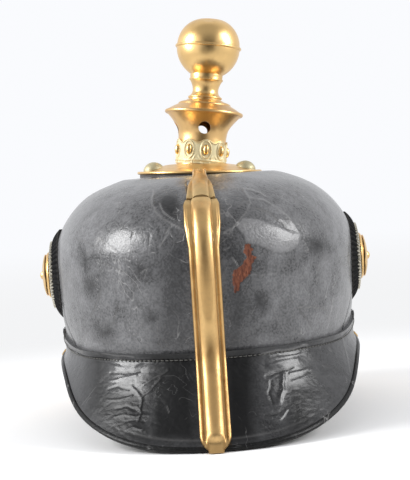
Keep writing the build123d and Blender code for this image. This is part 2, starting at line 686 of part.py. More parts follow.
CAP_TOP = NECK_HEIGHT + CAP_RISE
with BuildPart() as neck_cap:
    with BuildSketch(section(NECK)):
        bore = STUD_RADIUS + STUD_CLEARANCE
        lip_x = CAP_RADIUS - CAP_LIP / 2
        under_lip_x = NECK_FLARE_RADIUS - 2 * NECK_WALL
        with BuildLine():
            Polyline(
                (lip_x, NECK_HEIGHT), (under_lip_x, NECK_HEIGHT),
                (CAP_SHOULDER_RADIUS - CAP_SHEET, NECK_HEIGHT + CAP_SHOULDER_SHARE * CAP_RISE - CAP_SHEET),
                (CAP_BOSS_RADIUS, CAP_TOP - CAP_SHEET), (CAP_BOSS_RADIUS, CAP_TOP - CAP_BOSS_DEPTH),
                (bore, CAP_TOP - CAP_BOSS_DEPTH), (bore, CAP_TOP), (CAP_TOP_RADIUS, CAP_TOP),
            )
            Spline(
                (CAP_TOP_RADIUS, CAP_TOP),
                (CAP_SHOULDER_RADIUS, NECK_HEIGHT + CAP_SHOULDER_SHARE * CAP_RISE),
                (lip_x, NECK_HEIGHT + CAP_LIP),
            )
            ThreePointArc(
                (lip_x, NECK_HEIGHT + CAP_LIP), (CAP_RADIUS, NECK_HEIGHT + CAP_LIP / 2), (lip_x, NECK_HEIGHT)
            )
        make_face()
    revolve(axis=axis_of(NECK))

# Ball: a loose washer, a turned stem, two half shells with a seam bead, and the stud
STEM_FOOT = CAP_TOP + BALL_WASHER_THICKNESS
BALL_CENTRE = NECK.offset(BALL_HEIGHT)
with BuildPart() as ball_washer:
    with BuildSketch(NECK.offset(CAP_TOP)):
        Circle(BALL_WASHER_RADIUS)
        Circle(STUD_RADIUS + STUD_CLEARANCE, mode=Mode.SUBTRACT)
    extrude(amount=BALL_WASHER_THICKNESS)

with BuildPart() as ball_stem:
    with BuildSketch(section(NECK)):
        with BuildLine():
            Polyline(
                (STEM_COLLAR_RADIUS, BALL_HEIGHT), (STUD_RADIUS, BALL_HEIGHT), (STUD_RADIUS, STEM_FOOT),
                (STEM_FOOT_RADIUS, STEM_FOOT), (STEM_FOOT_RADIUS, STEM_FOOT + STEM_FOOT_THICKNESS),
            )
            Spline(
                (STEM_FOOT_RADIUS, STEM_FOOT + STEM_FOOT_THICKNESS),
                (STEM_WAIST_RADIUS, STEM_FOOT + STEM_WAIST_HEIGHT),
                (STEM_COLLAR_RADIUS, STEM_FOOT + STEM_COLLAR_HEIGHT),
            )
            Line((STEM_COLLAR_RADIUS, STEM_FOOT + STEM_COLLAR_HEIGHT), (STEM_COLLAR_RADIUS, BALL_HEIGHT))
        make_face()
    revolve(axis=axis_of(NECK))
    with Locations(BALL_CENTRE):
        Sphere(BALL_RADIUS, mode=Mode.SUBTRACT)

with BuildPart() as ball_shell:
    with Locations(BALL_CENTRE):
        Sphere(BALL_RADIUS)
        Sphere(BALL_RADIUS - BALL_WALL, mode=Mode.SUBTRACT)
    with BuildSketch(NECK):
        Circle(STUD_RADIUS)
    extrude(amount=BALL_HEIGHT, mode=Mode.SUBTRACT)

with BuildPart() as ball_lower_shell:
    add(ball_shell.part)
    split(bisect_by=BALL_CENTRE, keep=Keep.BOTTOM)

with BuildPart() as ball_upper_shell:
    add(ball_shell.part)
    split(bisect_by=BALL_CENTRE, keep=Keep.TOP)

with BuildPart() as ball_seam_bead:
    with BuildSketch(section(NECK)):
        with Locations((BALL_RADIUS, BALL_HEIGHT)):
            Circle(SEAM_BEAD_RADIUS)
    revolve(axis=axis_of(NECK))
    with Locations(BALL_CENTRE):
        Sphere(BALL_RADIUS, mode=Mode.SUBTRACT)

with BuildPart() as ball_stud:
    with BuildSketch(NECK.offset(CAP_TOP - STUD_LENGTH_BELOW)):
        Circle(STUD_RADIUS)
    extrude(amount=BALL_HEIGHT - BALL_RADIUS + BALL_WALL + STUD_HEAD_THICKNESS - CAP_TOP + STUD_LENGTH_BELOW)
    with BuildSketch(NECK.offset(BALL_HEIGHT - BALL_RADIUS)):
        Circle(STUD_HEAD_WIDTH / 2)
        Circle(STUD_RADIUS, mode=Mode.SUBTRACT)
    extrude(amount=BALL_WALL + STUD_HEAD_THICKNESS)
    add(ball_lower_shell.part, mode=Mode.SUBTRACT)
    add(ball_stem.part, mode=Mode.SUBTRACT)

# Side fittings, turned about the line from ear to ear and mirrored to the left
EAR_LINE = Axis((0, 0, SIDE_HEIGHT), (1, 0, 0))


def cockade_x(radius, depth):
    """Distance from the middle of the cockade's outer face at a radius, less depth."""
    bulge = 1 - (radius / COCKADE_RADIUS) ** COCKADE_BULGE_POWER
    return COCKADE_EDGE_X + (COCKADE_FACE_X - COCKADE_EDGE_X) * bulge - depth


def ear_disc(points):
    """Disc turned about the ear line from corners given as distance out and radius."""
    with BuildPart() as disc:
        with BuildSketch(Plane.XZ):
            with BuildLine():
                Polyline(*[(x, SIDE_HEIGHT + radius) for x, radius in points], close=True)
            make_face()
        revolve(axis=EAR_LINE)
    return disc.part


def ear_hole(radius):
    """Long pin along the ear line on the right side, for cutting a hole."""
    with BuildPart() as pin:
        with BuildSketch(Plane.YZ):
            with Locations((0, SIDE_HEIGHT)):
                Circle(radius)
        extrude(amount=SPAN)
    return pin.part


with BuildPart() as cockade_right:
    with BuildSketch(Plane.XZ):
        shoulder_radii = [share * COCKADE_RADIUS for share in COCKADE_SHOULDER_SHARES]
        radii = (SIDE_SCREW_RADIUS, *shoulder_radii, COCKADE_RADIUS)
        outer = [(cockade_x(radius, 0), SIDE_HEIGHT + radius) for radius in radii]
        inner = [(x - COCKADE_THICKNESS, z) for x, z in outer]
        with BuildLine():
            Spline(*outer)
            Line(outer[-1], inner[-1])
            Spline(*inner)
            Line(inner[0], outer[0])
        make_face()
    revolve(axis=EAR_LINE)
    add(ear_disc([
        (cockade_x(0, COCKADE_THICKNESS), 0),
        (cockade_x(0, COCKADE_THICKNESS), COCKADE_BOSS_RADIUS),
        (COCKADE_RING_X, COCKADE_BOSS_RADIUS),
        (COCKADE_RING_X, 0),
    ]))
    add(skull_form.part, mode=Mode.SUBTRACT)
    add(ear_hole(SIDE_SCREW_RADIUS + HOLE_CLEARANCE), mode=Mode.SUBTRACT)

with BuildPart() as cockade_ring_right:
    ring_inner = COCKADE_RING_RADIUS - COCKADE_RING_WIDTH
    add(ear_disc([
        (cockade_x(ring_inner, COCKADE_THICKNESS / 2), ring_inner),
        (COCKADE_RING_X, ring_inner),
        (COCKADE_RING_X - COCKADE_RING_BEVEL, COCKADE_RING_RADIUS),
        (cockade_x(COCKADE_RING_RADIUS, COCKADE_THICKNESS / 2), COCKADE_RING_RADIUS),
    ]))
    add(cockade_right.part, mode=Mode.SUBTRACT)

with BuildPart() as rosette_right:
    with BuildSketch(Plane.XZ):
        rim = (ROSETTE_X + ROSETTE_EDGE, SIDE_HEIGHT + ROSETTE_RADIUS)
        radius_share, rise_share = ROSETTE_SHOULDER_SHARES
        shoulder = (ROSETTE_X + rise_share * ROSETTE_RISE, SIDE_HEIGHT + radius_share * ROSETTE_RADIUS)
        crest = (ROSETTE_X + ROSETTE_RISE, SIDE_HEIGHT + SIDE_KNOB_RADIUS)
        with BuildLine():
            Polyline(
                crest, (crest[0], SIDE_HEIGHT + SIDE_SCREW_RADIUS),
                (ROSETTE_X, SIDE_HEIGHT + SIDE_SCREW_RADIUS), (ROSETTE_X, SIDE_HEIGHT + ROSETTE_RADIUS), rim,
            )
            ThreePointArc(rim, shoulder, crest)
        make_face()
    revolve(axis=EAR_LINE)

with BuildPart() as side_screw_right:
    with BuildSketch(Plane.XZ):
        knob_x = ROSETTE_X + ROSETTE_RISE
        shank_end = BRIM_WIDTH / 2 - LEATHER
        knob_z, knob_rise = cap_middle(SIDE_KNOB_RADIUS, SIDE_KNOB_RISE)
        with BuildLine():
            Polyline(
                (knob_x + SIDE_KNOB_RISE, SIDE_HEIGHT), (shank_end, SIDE_HEIGHT),
                (shank_end, SIDE_HEIGHT + SIDE_SCREW_RADIUS), (knob_x, SIDE_HEIGHT + SIDE_SCREW_RADIUS),
                (knob_x, SIDE_HEIGHT + SIDE_KNOB_RADIUS),
            )
            ThreePointArc(
                (knob_x, SIDE_HEIGHT + SIDE_KNOB_RADIUS),
                (knob_x + knob_rise, SIDE_HEIGHT + knob_z),
                (knob_x + SIDE_KNOB_RISE, SIDE_HEIGHT),
            )
        make_face()
    revolve(axis=EAR_LINE)

with BuildPart() as side_nut_right:
    with BuildSketch(Plane.YZ.offset(SKULL_WIDTH / 2 - LEATHER - SIDE_NUT_THICKNESS)):
        with Locations((0, SIDE_HEIGHT)):
            RegularPolygon(SIDE_NUT_RADIUS, 6)
            Circle(SIDE_SCREW_RADIUS, mode=Mode.SUBTRACT)
    extrude(amount=SIDE_NUT_THICKNESS + OVERRUN)
    add(skull.part, mode=Mode.SUBTRACT)

# Chin scales: a leather loop with overlapping plates, hinged on the side screws
CHIN = Plane(
    origin=(0, 0, SIDE_HEIGHT),
    x_dir=(1, 0, 0),
    z_dir=(0, sin(radians(CHIN_DROOP)), cos(radians(CHIN_DROOP))),
)


def chin_band(low, high, width):
    """Right half of an oval band in the loop's plane, between two distances outside its inner face."""
    with BuildPart() as band:
        with BuildSketch(CHIN):
            Ellipse(CHIN_X + high, CHIN_REACH + high)
            Ellipse(CHIN_X + low, CHIN_REACH + low, mode=Mode.SUBTRACT)
            with Locations((CHIN_X, CHIN_REACH)):
                Rectangle(2 * CHIN_X, 2 * CHIN_REACH, mode=Mode.INTERSECT)
        extrude(amount=width / 2, both=True)
    return band.part


with BuildPart() as chin_backing_right:
    add(chin_band(0, CHIN_BACKING, CHIN_BACKING_WIDTH))
    with BuildSketch(CHIN):
        with Locations((CHIN_X + CHIN_BACKING / 2, -CHIN_END_LENGTH / 2)):
            Rectangle(CHIN_BACKING, CHIN_END_LENGTH)
    extrude(amount=CHIN_BACKING_WIDTH / 2, both=True)
    add(ear_hole(SIDE_SCREW_RADIUS + CHIN_HINGE_CLEARANCE), mode=Mode.SUBTRACT)

with BuildLine(CHIN) as chin_line:
    EllipticalCenterArc((0, 0), CHIN_X + CHIN_BACKING, CHIN_REACH + CHIN_BACKING, 0, arc_size=90)
chin_edge = chin_line.edge()
chin_run = chin_edge.length - CHIN_END_RADIUS - CHIN_FRONT_GAP
chin_pitch = chin_run / (CHIN_SCALE_COUNT + CHIN_SCALE_BULGE_SHARE)


def chin_scale_plane(place):
    """Plane that touches the loop's outer face at a distance along it, with x along the loop."""
    origin = chin_edge.position_at(place, position_mode=PositionMode.LENGTH)
    along = chin_edge.tangent_at(place, position_mode=PositionMode.LENGTH)
    return Plane(origin=origin, x_dir=along, z_dir=along.cross(CHIN.z_dir))


def chin_scale_face(half_width, half_pitch, bulge):
    """Plate with a round front edge that fits the hollow back edge of the next one."""
    back = -half_pitch + CHIN_SCALE_GAP
    with BuildSketch() as face:
        with BuildLine():
            Line((back - bulge, -half_width), (half_pitch - bulge, -half_width))
            ThreePointArc(
                (half_pitch - bulge, -half_width), (half_pitch, 0), (half_pitch - bulge, half_width)
            )
            Line((half_pitch - bulge, half_width), (back - bulge, half_width))
            ThreePointArc((back - bulge, half_width), (back, 0), (back - bulge, -half_width))
        make_face()
    return face.sketch


with BuildPart() as chin_scales_right:
    with BuildSketch(Plane.YZ.offset(CHIN_X + CHIN_BACKING)):
        with Locations((0, SIDE_HEIGHT)):
            Circle(CHIN_END_RADIUS)
            Circle(SIDE_SCREW_RADIUS + CHIN_HINGE_CLEARANCE, mode=Mode.SUBTRACT)
    extrude(amount=CHIN_SCALE)
    for number in range(CHIN_SCALE_COUNT):
        taper = (CHIN_SCALE_WIDTH - CHIN_SCALE_END_WIDTH) * number / CHIN_SCALE_COUNT
        scale_width = CHIN_SCALE_WIDTH - taper
        scale_bulge = CHIN_SCALE_BULGE_SHARE * chin_pitch
        scale_place = CHIN_END_RADIUS + scale_bulge + (number + 1 / 2) * chin_pitch
        with BuildSketch(chin_scale_plane(scale_place)):
            add(chin_scale_face(scale_width / 2, chin_pitch / 2, scale_bulge))
        extrude(amount=CHIN_SCALE)

with BuildPart() as buckle_half:
    add(chin_band(CHIN_BACKING, CHIN_BACKING + BUCKLE_THICKNESS, BUCKLE_HEIGHT))
    add(Box(BUCKLE_WIDTH, SPAN, SPAN, align=(Align.CENTER, Align.MIN, Align.CENTER), mode=Mode.PRIVATE),
        mode=Mode.INTERSECT)

with BuildPart() as chin_buckle:
    add(buckle_half.part)
    add(mirrored(buckle_half.part))
    with BuildSketch(CHIN):
        with Locations((0, CHIN_REACH)):
            Rectangle(BUCKLE_WIDTH - 2 * BUCKLE_BAR, CHIN_REACH)
    extrude(amount=BUCKLE_HEIGHT / 2 - BUCKLE_BAR, both=True, mode=Mode.SUBTRACT)

with BuildPart() as tongue_half:
    add(chin_band(CHIN_BACKING, CHIN_BACKING + BUCKLE_TONGUE_THICKNESS, BUCKLE_TONGUE_WIDTH))
    add(Box(BUCKLE_WIDTH - 2 * BUCKLE_BAR, SPAN, SPAN, align=(Align.CENTER, Align.MIN, Align.CENTER),
            mode=Mode.PRIVATE), mode=Mode.INTERSECT)

with BuildPart() as chin_buckle_tongue:
    add(tongue_half.part)
    add(mirrored(tongue_half.part))

# Front plate: a rayed star with a plain raised middle, shaped to the skull
star_points = [
    (
        radius * cos(pi * step / PLATE_RAYS),
        PLATE_HEIGHT + radius * sin(pi * step / PLATE_RAYS),
    )
    for step in range(2 * PLATE_RAYS)
    for radius in [PLATE_RADIUS * (PLATE_NOTCH_SHARE if step % 2 else 1)]
]

with BuildPart() as front_plate:
    add(dome(-PLATE_THICKNESS, BRIM_HEIGHT))
    with BuildSketch(FRONT_VIEW):
        with BuildLine():
            Polyline(*star_points, close=True)
        make_face()
    extrude(amount=SPAN, mode=Mode.INTERSECT)
    add(skull_form.part, mode=Mode.SUBTRACT)

with BuildPart() as front_plate_boss:
    add(dome(-PLATE_THICKNESS - PLATE_BOSS_RISE, BRIM_HEIGHT))
    with BuildSketch(FRONT_VIEW):
        with Locations((0, PLATE_HEIGHT)):
            Circle(PLATE_BOSS_RADIUS)
    extrude(amount=SPAN, mode=Mode.INTERSECT)
    add(dome(-PLATE_THICKNESS, BRIM_HEIGHT), mode=Mode.SUBTRACT)

with BuildPart() as front_plate_posts:
    with BuildSketch(FRONT_VIEW.offset(SKULL_LENGTH / 2 - POST_LENGTH)):
        with Locations(*plate_posts):
            Circle(PLATE_POST_RADIUS)
    extrude(amount=POST_LENGTH)
    add(front_plate.part, mode=Mode.SUBTRACT)

with BuildPart() as front_plate_nuts:
    with BuildSketch(FRONT_VIEW.offset(SKULL_LENGTH / 2 - NUT_DEPTH)):
        with Locations(*plate_posts):
            RegularPolygon(NUT_RADIUS, 6)
    extrude(amount=NUT_DEPTH / 2)
    add(skull.part, mode=Mode.SUBTRACT)
    add(front_plate_posts.part, mode=Mode.SUBTRACT)

# Lining: a leather sweatband, its tongues and the lace that gathers them
SWEATBAND_INSET = LEATHER + SWEATBAND_GAP
TONGUE_INSET = SWEATBAND_INSET + SWEATBAND_THICKNESS
LACE_INSET = TONGUE_INSET + TONGUE_THICKNESS


def dome_shell(outer_inset, thickness, low, high):
    """Oval shell between two heights, following the skull's outline."""
    with BuildPart() as shell:
        add(dome(outer_inset, low))
        add(dome(outer_inset + thickness, BRIM_HEIGHT - OVERRUN), mode=Mode.SUBTRACT)
        split(bisect_by=Plane.XY.offset(high), keep=Keep.BOTTOM)
    return shell.part


with BuildPart() as sweatband:
    add(dome_shell(SWEATBAND_INSET, SWEATBAND_THICKNESS, BRIM_HEIGHT, SWEATBAND_TOP))

with BuildPart() as liner_tongues:
    add(dome_shell(TONGUE_INSET, TONGUE_THICKNESS, SWEATBAND_TOP - TONGUE_OVERLAP, TONGUE_TOP))
    with Locations((0, 0, SWEATBAND_TOP)):
        with PolarLocations(0, TONGUE_COUNT // 2, angular_range=180):
            Box(2 * SPAN, TONGUE_SLOT, SPAN,
                align=(Align.CENTER, Align.CENTER, Align.MIN), mode=Mode.SUBTRACT)

with BuildPart() as liner_lace:
    add(dome_shell(LACE_INSET, LACE_THICKNESS, LACE_HEIGHT, LACE_HEIGHT + LACE_WIDTH))

pieces = {
    "skull": skull.part,
    "rear_peak": rear_peak.part,
    "rear_peak_binding": rear_peak_binding.part,
    "rear_peak_lining": rear_peak_lining.part,
    "front_peak": front_peak.part,
    "front_peak_trim": front_peak_trim.part,
    "front_peak_lining": front_peak_lining.part,
    "spine": spine_with_tab.part,
    "spine_top_piece": spine_top_piece.part,
    "spine_fixing_posts": spine_fixing_posts.part,
    "spine_fixing_nuts": spine_fixing_nuts.part,
    "base_disc": base_disc.part,
    "base_washer": base_washer.part,
    "base_studs": base_studs.part,
    "base_stud_nuts": base_stud_nuts.part,
    "neck": neck.part,
    "pearl_ring": pearl_ring.part,
    "neck_cap": neck_cap.part,
    "ball_washer": ball_washer.part,
    "ball_stem": ball_stem.part,
    "ball_lower_shell": ball_lower_shell.part,
    "ball_upper_shell": ball_upper_shell.part,
    "ball_seam_bead": ball_seam_bead.part,
    "ball_stud": ball_stud.part,
    "chin_buckle": chin_buckle.part,
    "chin_buckle_tongue": chin_buckle_tongue.part,
    "front_plate": front_plate.part,
    "front_plate_boss": front_plate_boss.part,
    "front_plate_posts": front_plate_posts.part,
    "front_plate_nuts": front_plate_nuts.part,
    "sweatband": sweatband.part,
    "liner_tongues": liner_tongues.part,
    "liner_lace": liner_lace.part,
}
paired = {
    "cockade": cockade_right.part,
    "cockade_ring": cockade_ring_right.part,
    "rosette": rosette_right.part,
    "side_screw": side_screw_right.part,
    "side_nut": side_nut_right.part,
    "chin_backing": chin_backing_right.part,
    "chin_scales": chin_scales_right.part,
}
for piece_name, piece in paired.items():
    pieces[piece_name + "_right"] = piece
    pieces[piece_name + "_left"] = mirrored(piece)

# Everything moves by one step, so that the box stands on the floor around the origin
whole = Compound(children=[Compound(piece.solids()) for piece in pieces.values()]).bounding_box()
to_origin = Location((-whole.center().X, -whole.center().Y, -whole.min.Z))
os.makedirs("parts", exist_ok=True)
for piece_name, piece in pieces.items():
    placed = piece.moved(to_origin)
    placed.label = piece_name
    export_step(placed, f"parts/{piece_name}.step")
print("box", whole.size, "skull axis moved by", to_origin.position)
print("finial axis", NECK.origin + to_origin.position, NECK.z_dir)
print("ear line height", SIDE_HEIGHT - whole.min.Z)
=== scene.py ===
"""The looks of a lacquered leather parade helmet with a ball finial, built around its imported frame."""

import json
import logging
import math
from dataclasses import dataclass
from enum import Enum

import bmesh
import bpy
import numpy as np
from mathutils import Matrix, Vector
from mathutils.bvhtree import BVHTree


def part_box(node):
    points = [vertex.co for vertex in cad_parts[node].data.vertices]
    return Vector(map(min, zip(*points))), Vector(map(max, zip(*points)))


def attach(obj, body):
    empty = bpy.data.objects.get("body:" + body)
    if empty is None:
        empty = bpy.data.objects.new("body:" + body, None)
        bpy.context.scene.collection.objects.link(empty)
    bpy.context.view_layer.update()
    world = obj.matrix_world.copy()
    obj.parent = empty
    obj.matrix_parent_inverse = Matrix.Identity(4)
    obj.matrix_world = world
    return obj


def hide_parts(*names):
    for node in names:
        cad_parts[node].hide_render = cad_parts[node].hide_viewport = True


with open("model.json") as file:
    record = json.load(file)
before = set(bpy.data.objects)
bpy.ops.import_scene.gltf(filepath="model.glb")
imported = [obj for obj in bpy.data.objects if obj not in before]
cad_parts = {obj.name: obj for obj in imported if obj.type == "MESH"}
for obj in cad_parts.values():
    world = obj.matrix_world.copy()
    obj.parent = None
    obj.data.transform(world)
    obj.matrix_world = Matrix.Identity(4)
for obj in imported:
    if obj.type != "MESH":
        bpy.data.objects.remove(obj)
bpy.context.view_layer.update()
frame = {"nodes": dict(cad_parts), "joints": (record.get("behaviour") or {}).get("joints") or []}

LOG = logging.getLogger("helmet")
MM = 0.001
FULL_TURN = 2 * math.pi
HASH_STEPS = np.array([374761393, 668265263, 2147483647])
HASH_SEED = 1274126177
HASH_MIX = 1103515245
Colour = tuple[float, float, float]
Spot = tuple[float, float, float]
Pair = tuple[float, float]
Wave = tuple[float, int, float]


class Side(Enum):
    """The wearer's two sides."""

    RIGHT = 1
    LEFT = -1

    @property
    def word(self) -> str:
        """The side's name as the nodes' names end with it."""
        return self.name.lower()


class Facing(Enum):
    """Which way a peak points, as the sign of its reach along the depth axis."""

    REAR = -1
    FRONT = 1


# Numbers and shapes

def smooth_noise(points: np.ndarray, size: float, seed: int) -> np.ndarray:
    """Smooth random values from -1 to 1 over space.

    Args:
        points: Places, one row each, in metres.
        size: Distance between two random values, in metres.
        seed: Picks the pattern.

    Returns:
        One value for each place.
    """
    scaled = points / size + 131.7
    cell = np.floor(scaled).astype(np.int64)
    part = scaled - cell
    part = part * part * part * (part * (part * 6 - 15) + 10)
    total = np.zeros(len(points))
    for corner in range(8):
        step = np.array([corner & 1, corner >> 1 & 1, corner >> 2 & 1])
        key = (cell + step) @ HASH_STEPS + seed * HASH_SEED
        key = (key ^ (key >> 13)) * HASH_MIX % 2**32
        value = ((key ^ (key >> 16)) % 65536) / 32767.5 - 1
        weight = np.prod(np.where(step, part, 1 - part), axis=1)
        total += weight * value
    return total


def dents(points: np.ndarray, waves: tuple[Wave, ...]) -> np.ndarray:
    """Sum of smooth random values over space, each wave given by its size, its seed and its height."""
    return sum(smooth_noise(points, size, seed) * height for size, seed, height in waves)


def cubic(at: np.ndarray, places: np.ndarray, values: np.ndarray) -> np.ndarray:
    """Smooth curve through given values.

    Args:
        at: Where to read the curve.
        places: Rising places of the given values.
        values: The given values.

    Returns:
        The curve's values.
    """
    slopes = np.gradient(values, places)
    index = np.clip(np.searchsorted(places, at) - 1, 0, len(places) - 2)
    step = places[index + 1] - places[index]
    part = (at - places[index]) / step
    flip = 1 - part
    return (
        values[index] * (1 + 2 * part) * flip**2 + slopes[index] * step * part * flip**2
        + values[index + 1] * part**2 * (3 - 2 * part) - slopes[index + 1] * step * part**2 * flip
    )


def soft_step(value: np.ndarray, start: float, end: float) -> np.ndarray:
    """Share from 0 to 1 of a smooth rise from the start to the end, which may be below the start."""
    part = np.clip((value - start) / (end - start), 0, 1)
    return part * part * (3 - 2 * part)


def closer(count: int, end: float) -> np.ndarray:
    """Rising angles from minus the end to the end, which is a quarter turn at most, closer in the middle."""
    share = np.linspace(-1, 1, count)
    return (share * end + np.arcsin(share * math.sin(end))) / 2


def bell(value: np.ndarray, middle: float, width: float) -> np.ndarray:
    """Smooth bump, 1 at the middle and 0.37 at its width from there."""
    return np.exp(-(((value - middle) / width) ** 2))


@dataclass(frozen=True)
class Welt:
    """A soft raised line, in the units of what it is laid over."""

    height: float
    middle: float
    width: float

    def over(self, value: np.ndarray) -> np.ndarray:
        """The line's height at values."""
        return self.height * bell(value, self.middle, self.width)


def turns(count: int) -> np.ndarray:
    """Evenly spread angles of one turn."""
    return np.linspace(0, FULL_TURN, count, endpoint=False)


def spread(low: float, high: float, count: int) -> np.ndarray:
    """Evenly spread numbers as a column."""
    return np.linspace(low, high, count)[:, None]


def unit(vectors: np.ndarray) -> np.ndarray:
    """The vectors' directions, with the coordinates last."""
    return vectors / np.maximum(np.linalg.norm(vectors, axis=-1, keepdims=True), 1e-12)


def length_to(points: np.ndarray) -> np.ndarray:
    """Length of a line up to each of its points."""
    return np.concatenate([[0], np.cumsum(np.linalg.norm(np.diff(points, axis=0), axis=1))])


def rings_of(radius: np.ndarray, angle: np.ndarray, level: np.ndarray) -> np.ndarray:
    """Rings of points around the third axis, one for each radius and level."""
    across, along = radius * np.cos(angle), radius * np.sin(angle)
    return np.stack([across, along, np.broadcast_to(level, across.shape)], axis=2)


def normals_of(grid: np.ndarray, wrap: bool) -> np.ndarray:
    """Unit normals of a grid of points.

    Args:
        grid: Points as rows, columns and three coordinates.
        wrap: Whether the last column meets the first.

    Returns:
        A normal for each point, pointing along rows cross columns.
    """
    wide = np.concatenate([grid[:, -1:], grid, grid[:, :1]], axis=1) if wrap else grid
    across = np.gradient(wide, axis=1)
    return unit(np.cross(np.gradient(grid, axis=0), across[:, 1:-1] if wrap else across))


def frame_at(origin: tuple, aside: Vector, up: Vector) -> Matrix:
    """Matrix of a frame at a place, with its first and third axes given."""
    return Matrix.Translation(origin) @ Matrix((aside, up.cross(aside), up)).transposed().to_4x4()


def linked(name: str, data: bpy.types.ID) -> bpy.types.Object:
    """New object with its data, linked to the scene.

    Args:
        name: The object's name.
        data: Its mesh, lamp or camera.

    Returns:
        The object.
    """
    thing = bpy.data.objects.new(name, data)
    bpy.context.scene.collection.objects.link(thing)
    return thing


class Mesh:
    """Ways to turn points into a finished object at the origin."""

    @staticmethod
    def smooth(mesh: bpy.types.Mesh, crease: float = 40.0) -> None:
        """Shades a mesh smoothly, but keeps edges sharp above the crease in degrees."""
        mesh.shade_smooth()
        mesh.set_sharp_from_angle(angle=math.radians(crease))

    @staticmethod
    def make(
        name: str, points: np.ndarray, faces: list, material: bpy.types.Material | None = None
    ) -> bpy.types.Object:
        """Object from points and faces, without doubled points, smooth and facing outwards.

        Args:
            name: The piece's name.
            points: Points in metres, one row each.
            faces: Faces as indices.
            material: The piece's finish.

        Returns:
            The new object.
        """
        mesh = bpy.data.meshes.new(name)
        mesh.from_pydata(points.reshape(-1, 3).tolist(), [], faces)
        if material:
            mesh.materials.append(material)
        work = bmesh.new()
        work.from_mesh(mesh)
        bmesh.ops.remove_doubles(work, verts=work.verts, dist=1e-7)
        bmesh.ops.dissolve_degenerate(work, edges=work.edges, dist=1e-8)
        bmesh.ops.recalc_face_normals(work, faces=work.faces)
        work.to_mesh(mesh)
        work.free()
        Mesh.smooth(mesh)
        return linked(name, mesh)

    @staticmethod
    def tube(
        name: str, rings: np.ndarray, material: bpy.types.Material | None = None, loop: bool = False
    ) -> bpy.types.Object:
        """Closed skin over rings of points, capped at both ends unless it is a loop.

        Args:
            name: The piece's name.
            rings: Rings, points and coordinates.
            material: The piece's finish.
            loop: Whether the last ring meets the first.

        Returns:
            The new object.
        """
        count, around = rings.shape[:2]
        a, b = (index.ravel() for index in np.indices((count if loop else count - 1, around)))
        c, d = (a + 1) % count, (b + 1) % around
        faces = np.stack([a * around + b, a * around + d, c * around + d, c * around + b], axis=1).tolist()
        if not loop:
            faces += [list(range(around)), list(range((count - 1) * around, count * around))]
        return Mesh.make(name, rings, faces, material)

    @staticmethod
    def turned(
        name: str, profile: list[Pair], place: Matrix, material: bpy.types.Material, steps: int = 128
    ) -> bpy.types.Object:
        """Closed piece turned about an axis.

        Args:
            name: The piece's name.
            profile: Closed outline as distance from the axis and height, in millimetres.
            place: Matrix whose third axis is the turning axis.
            material: The piece's finish.
            steps: Faces in a turn.

        Returns:
            The new object.
        """
        outline = np.array(profile) * MM
        piece = Mesh.tube(name, rings_of(outline[:, :1], turns(steps), outline[:, 1:]), material, loop=True)
        piece.data.transform(place)
        return piece

    @staticmethod
    def joined(name: str, things: list[bpy.types.Object]) -> bpy.types.Object:
        """One object from several.

        Args:
            name: The joined piece's name.
            things: Objects at the origin, whose materials are kept.

        Returns:
            The joined piece.
        """
        with bpy.context.temp_override(active_object=things[0], selected_editable_objects=things):
            bpy.ops.object.join()
        things[0].name = name
        return things[0]

    @staticmethod
    def points(thing: bpy.types.Object) -> np.ndarray:
        """The object's points, one row each."""
        return np.array([vertex.co[:] for vertex in thing.data.vertices])

    @staticmethod
    def mark(thing: bpy.types.Object, name: str, values: np.ndarray) -> None:
        """Stores a value at each point for the finish to read, unless points were merged.

        Args:
            thing: The piece.
            name: The attribute's name.
            values: One number for each point.
        """
        if len(thing.data.vertices) == values.size:
            layer = thing.data.attributes.new(name, "FLOAT", "POINT")
            layer.data.foreach_set("value", np.asarray(values, np.float32).ravel())


def settle(piece: bpy.types.Object, body: str, slot: str, *nodes: str) -> None:
    """Ties a finished piece to its body and hides the nodes that it stands for.

    Args:
        piece: The finished piece.
        body: The body that carries it.
        slot: The record's material slot; not used.
        nodes: The nodes that it replaces.
    """
    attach(piece, body)
    if nodes:
        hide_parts(*nodes)
    LOG.info("%s: %d faces", piece.name, len(piece.data.polygons))


def arc(centre: Pair, radius: Pair, start: float, end: float, steps: int) -> list[Pair]:
    """Points along an upright oval arc, from its middle, its two half axes and its end angles in degrees."""
    angles = np.radians(np.linspace(start, end, steps))
    return [(centre[0] + radius[0] * math.cos(a), centre[1] + radius[1] * math.sin(a)) for a in angles]


# Shader graphs

class Signal:
    """A shader value on which Python's operators work; each operator adds its Math node."""

    def __init__(self, graph: "Graph", socket: bpy.types.NodeSocket) -> None:
        """Wraps one output socket."""
        self.graph = graph
        self.socket = socket

    def __add__(self, other: "Signal | float") -> "Signal":
        """Sum."""
        return self.graph.math("ADD", self, other)

    def __sub__(self, other: "Signal | float") -> "Signal":
        """Difference."""
        return self.graph.math("SUBTRACT", self, other)

    def __rsub__(self, other: "Signal | float") -> "Signal":
        """Difference with the number first."""
        return self.graph.math("SUBTRACT", other, self)

    def __mul__(self, other: "Signal | float") -> "Signal":
        """Product."""
        return self.graph.math("MULTIPLY", self, other)

    def __truediv__(self, other: "Signal | float") -> "Signal":
        """Quotient."""
        return self.graph.math("DIVIDE", self, other)

    __radd__ = __add__
    __rmul__ = __mul__

    def within(self, low: float, high: float) -> "Signal":
        """Share of the way between two values, smooth and held at 0 and 1.

        Args:
            low: The value that gives 0.
            high: The value that gives 1.

        Returns:
            The share.
        """
        node = self.graph.node(
            "ShaderNodeMapRange", {"interpolation_type": "SMOOTHSTEP"},
            {"Value": self, "From Min": low, "From Max": high},
        )
        return Signal(self.graph, node.outputs["Result"])

    def held(self) -> "Signal":
        """The value, held between 0 and 1."""
        return self.graph.math("ADD", self, 0.0, clamp=True)


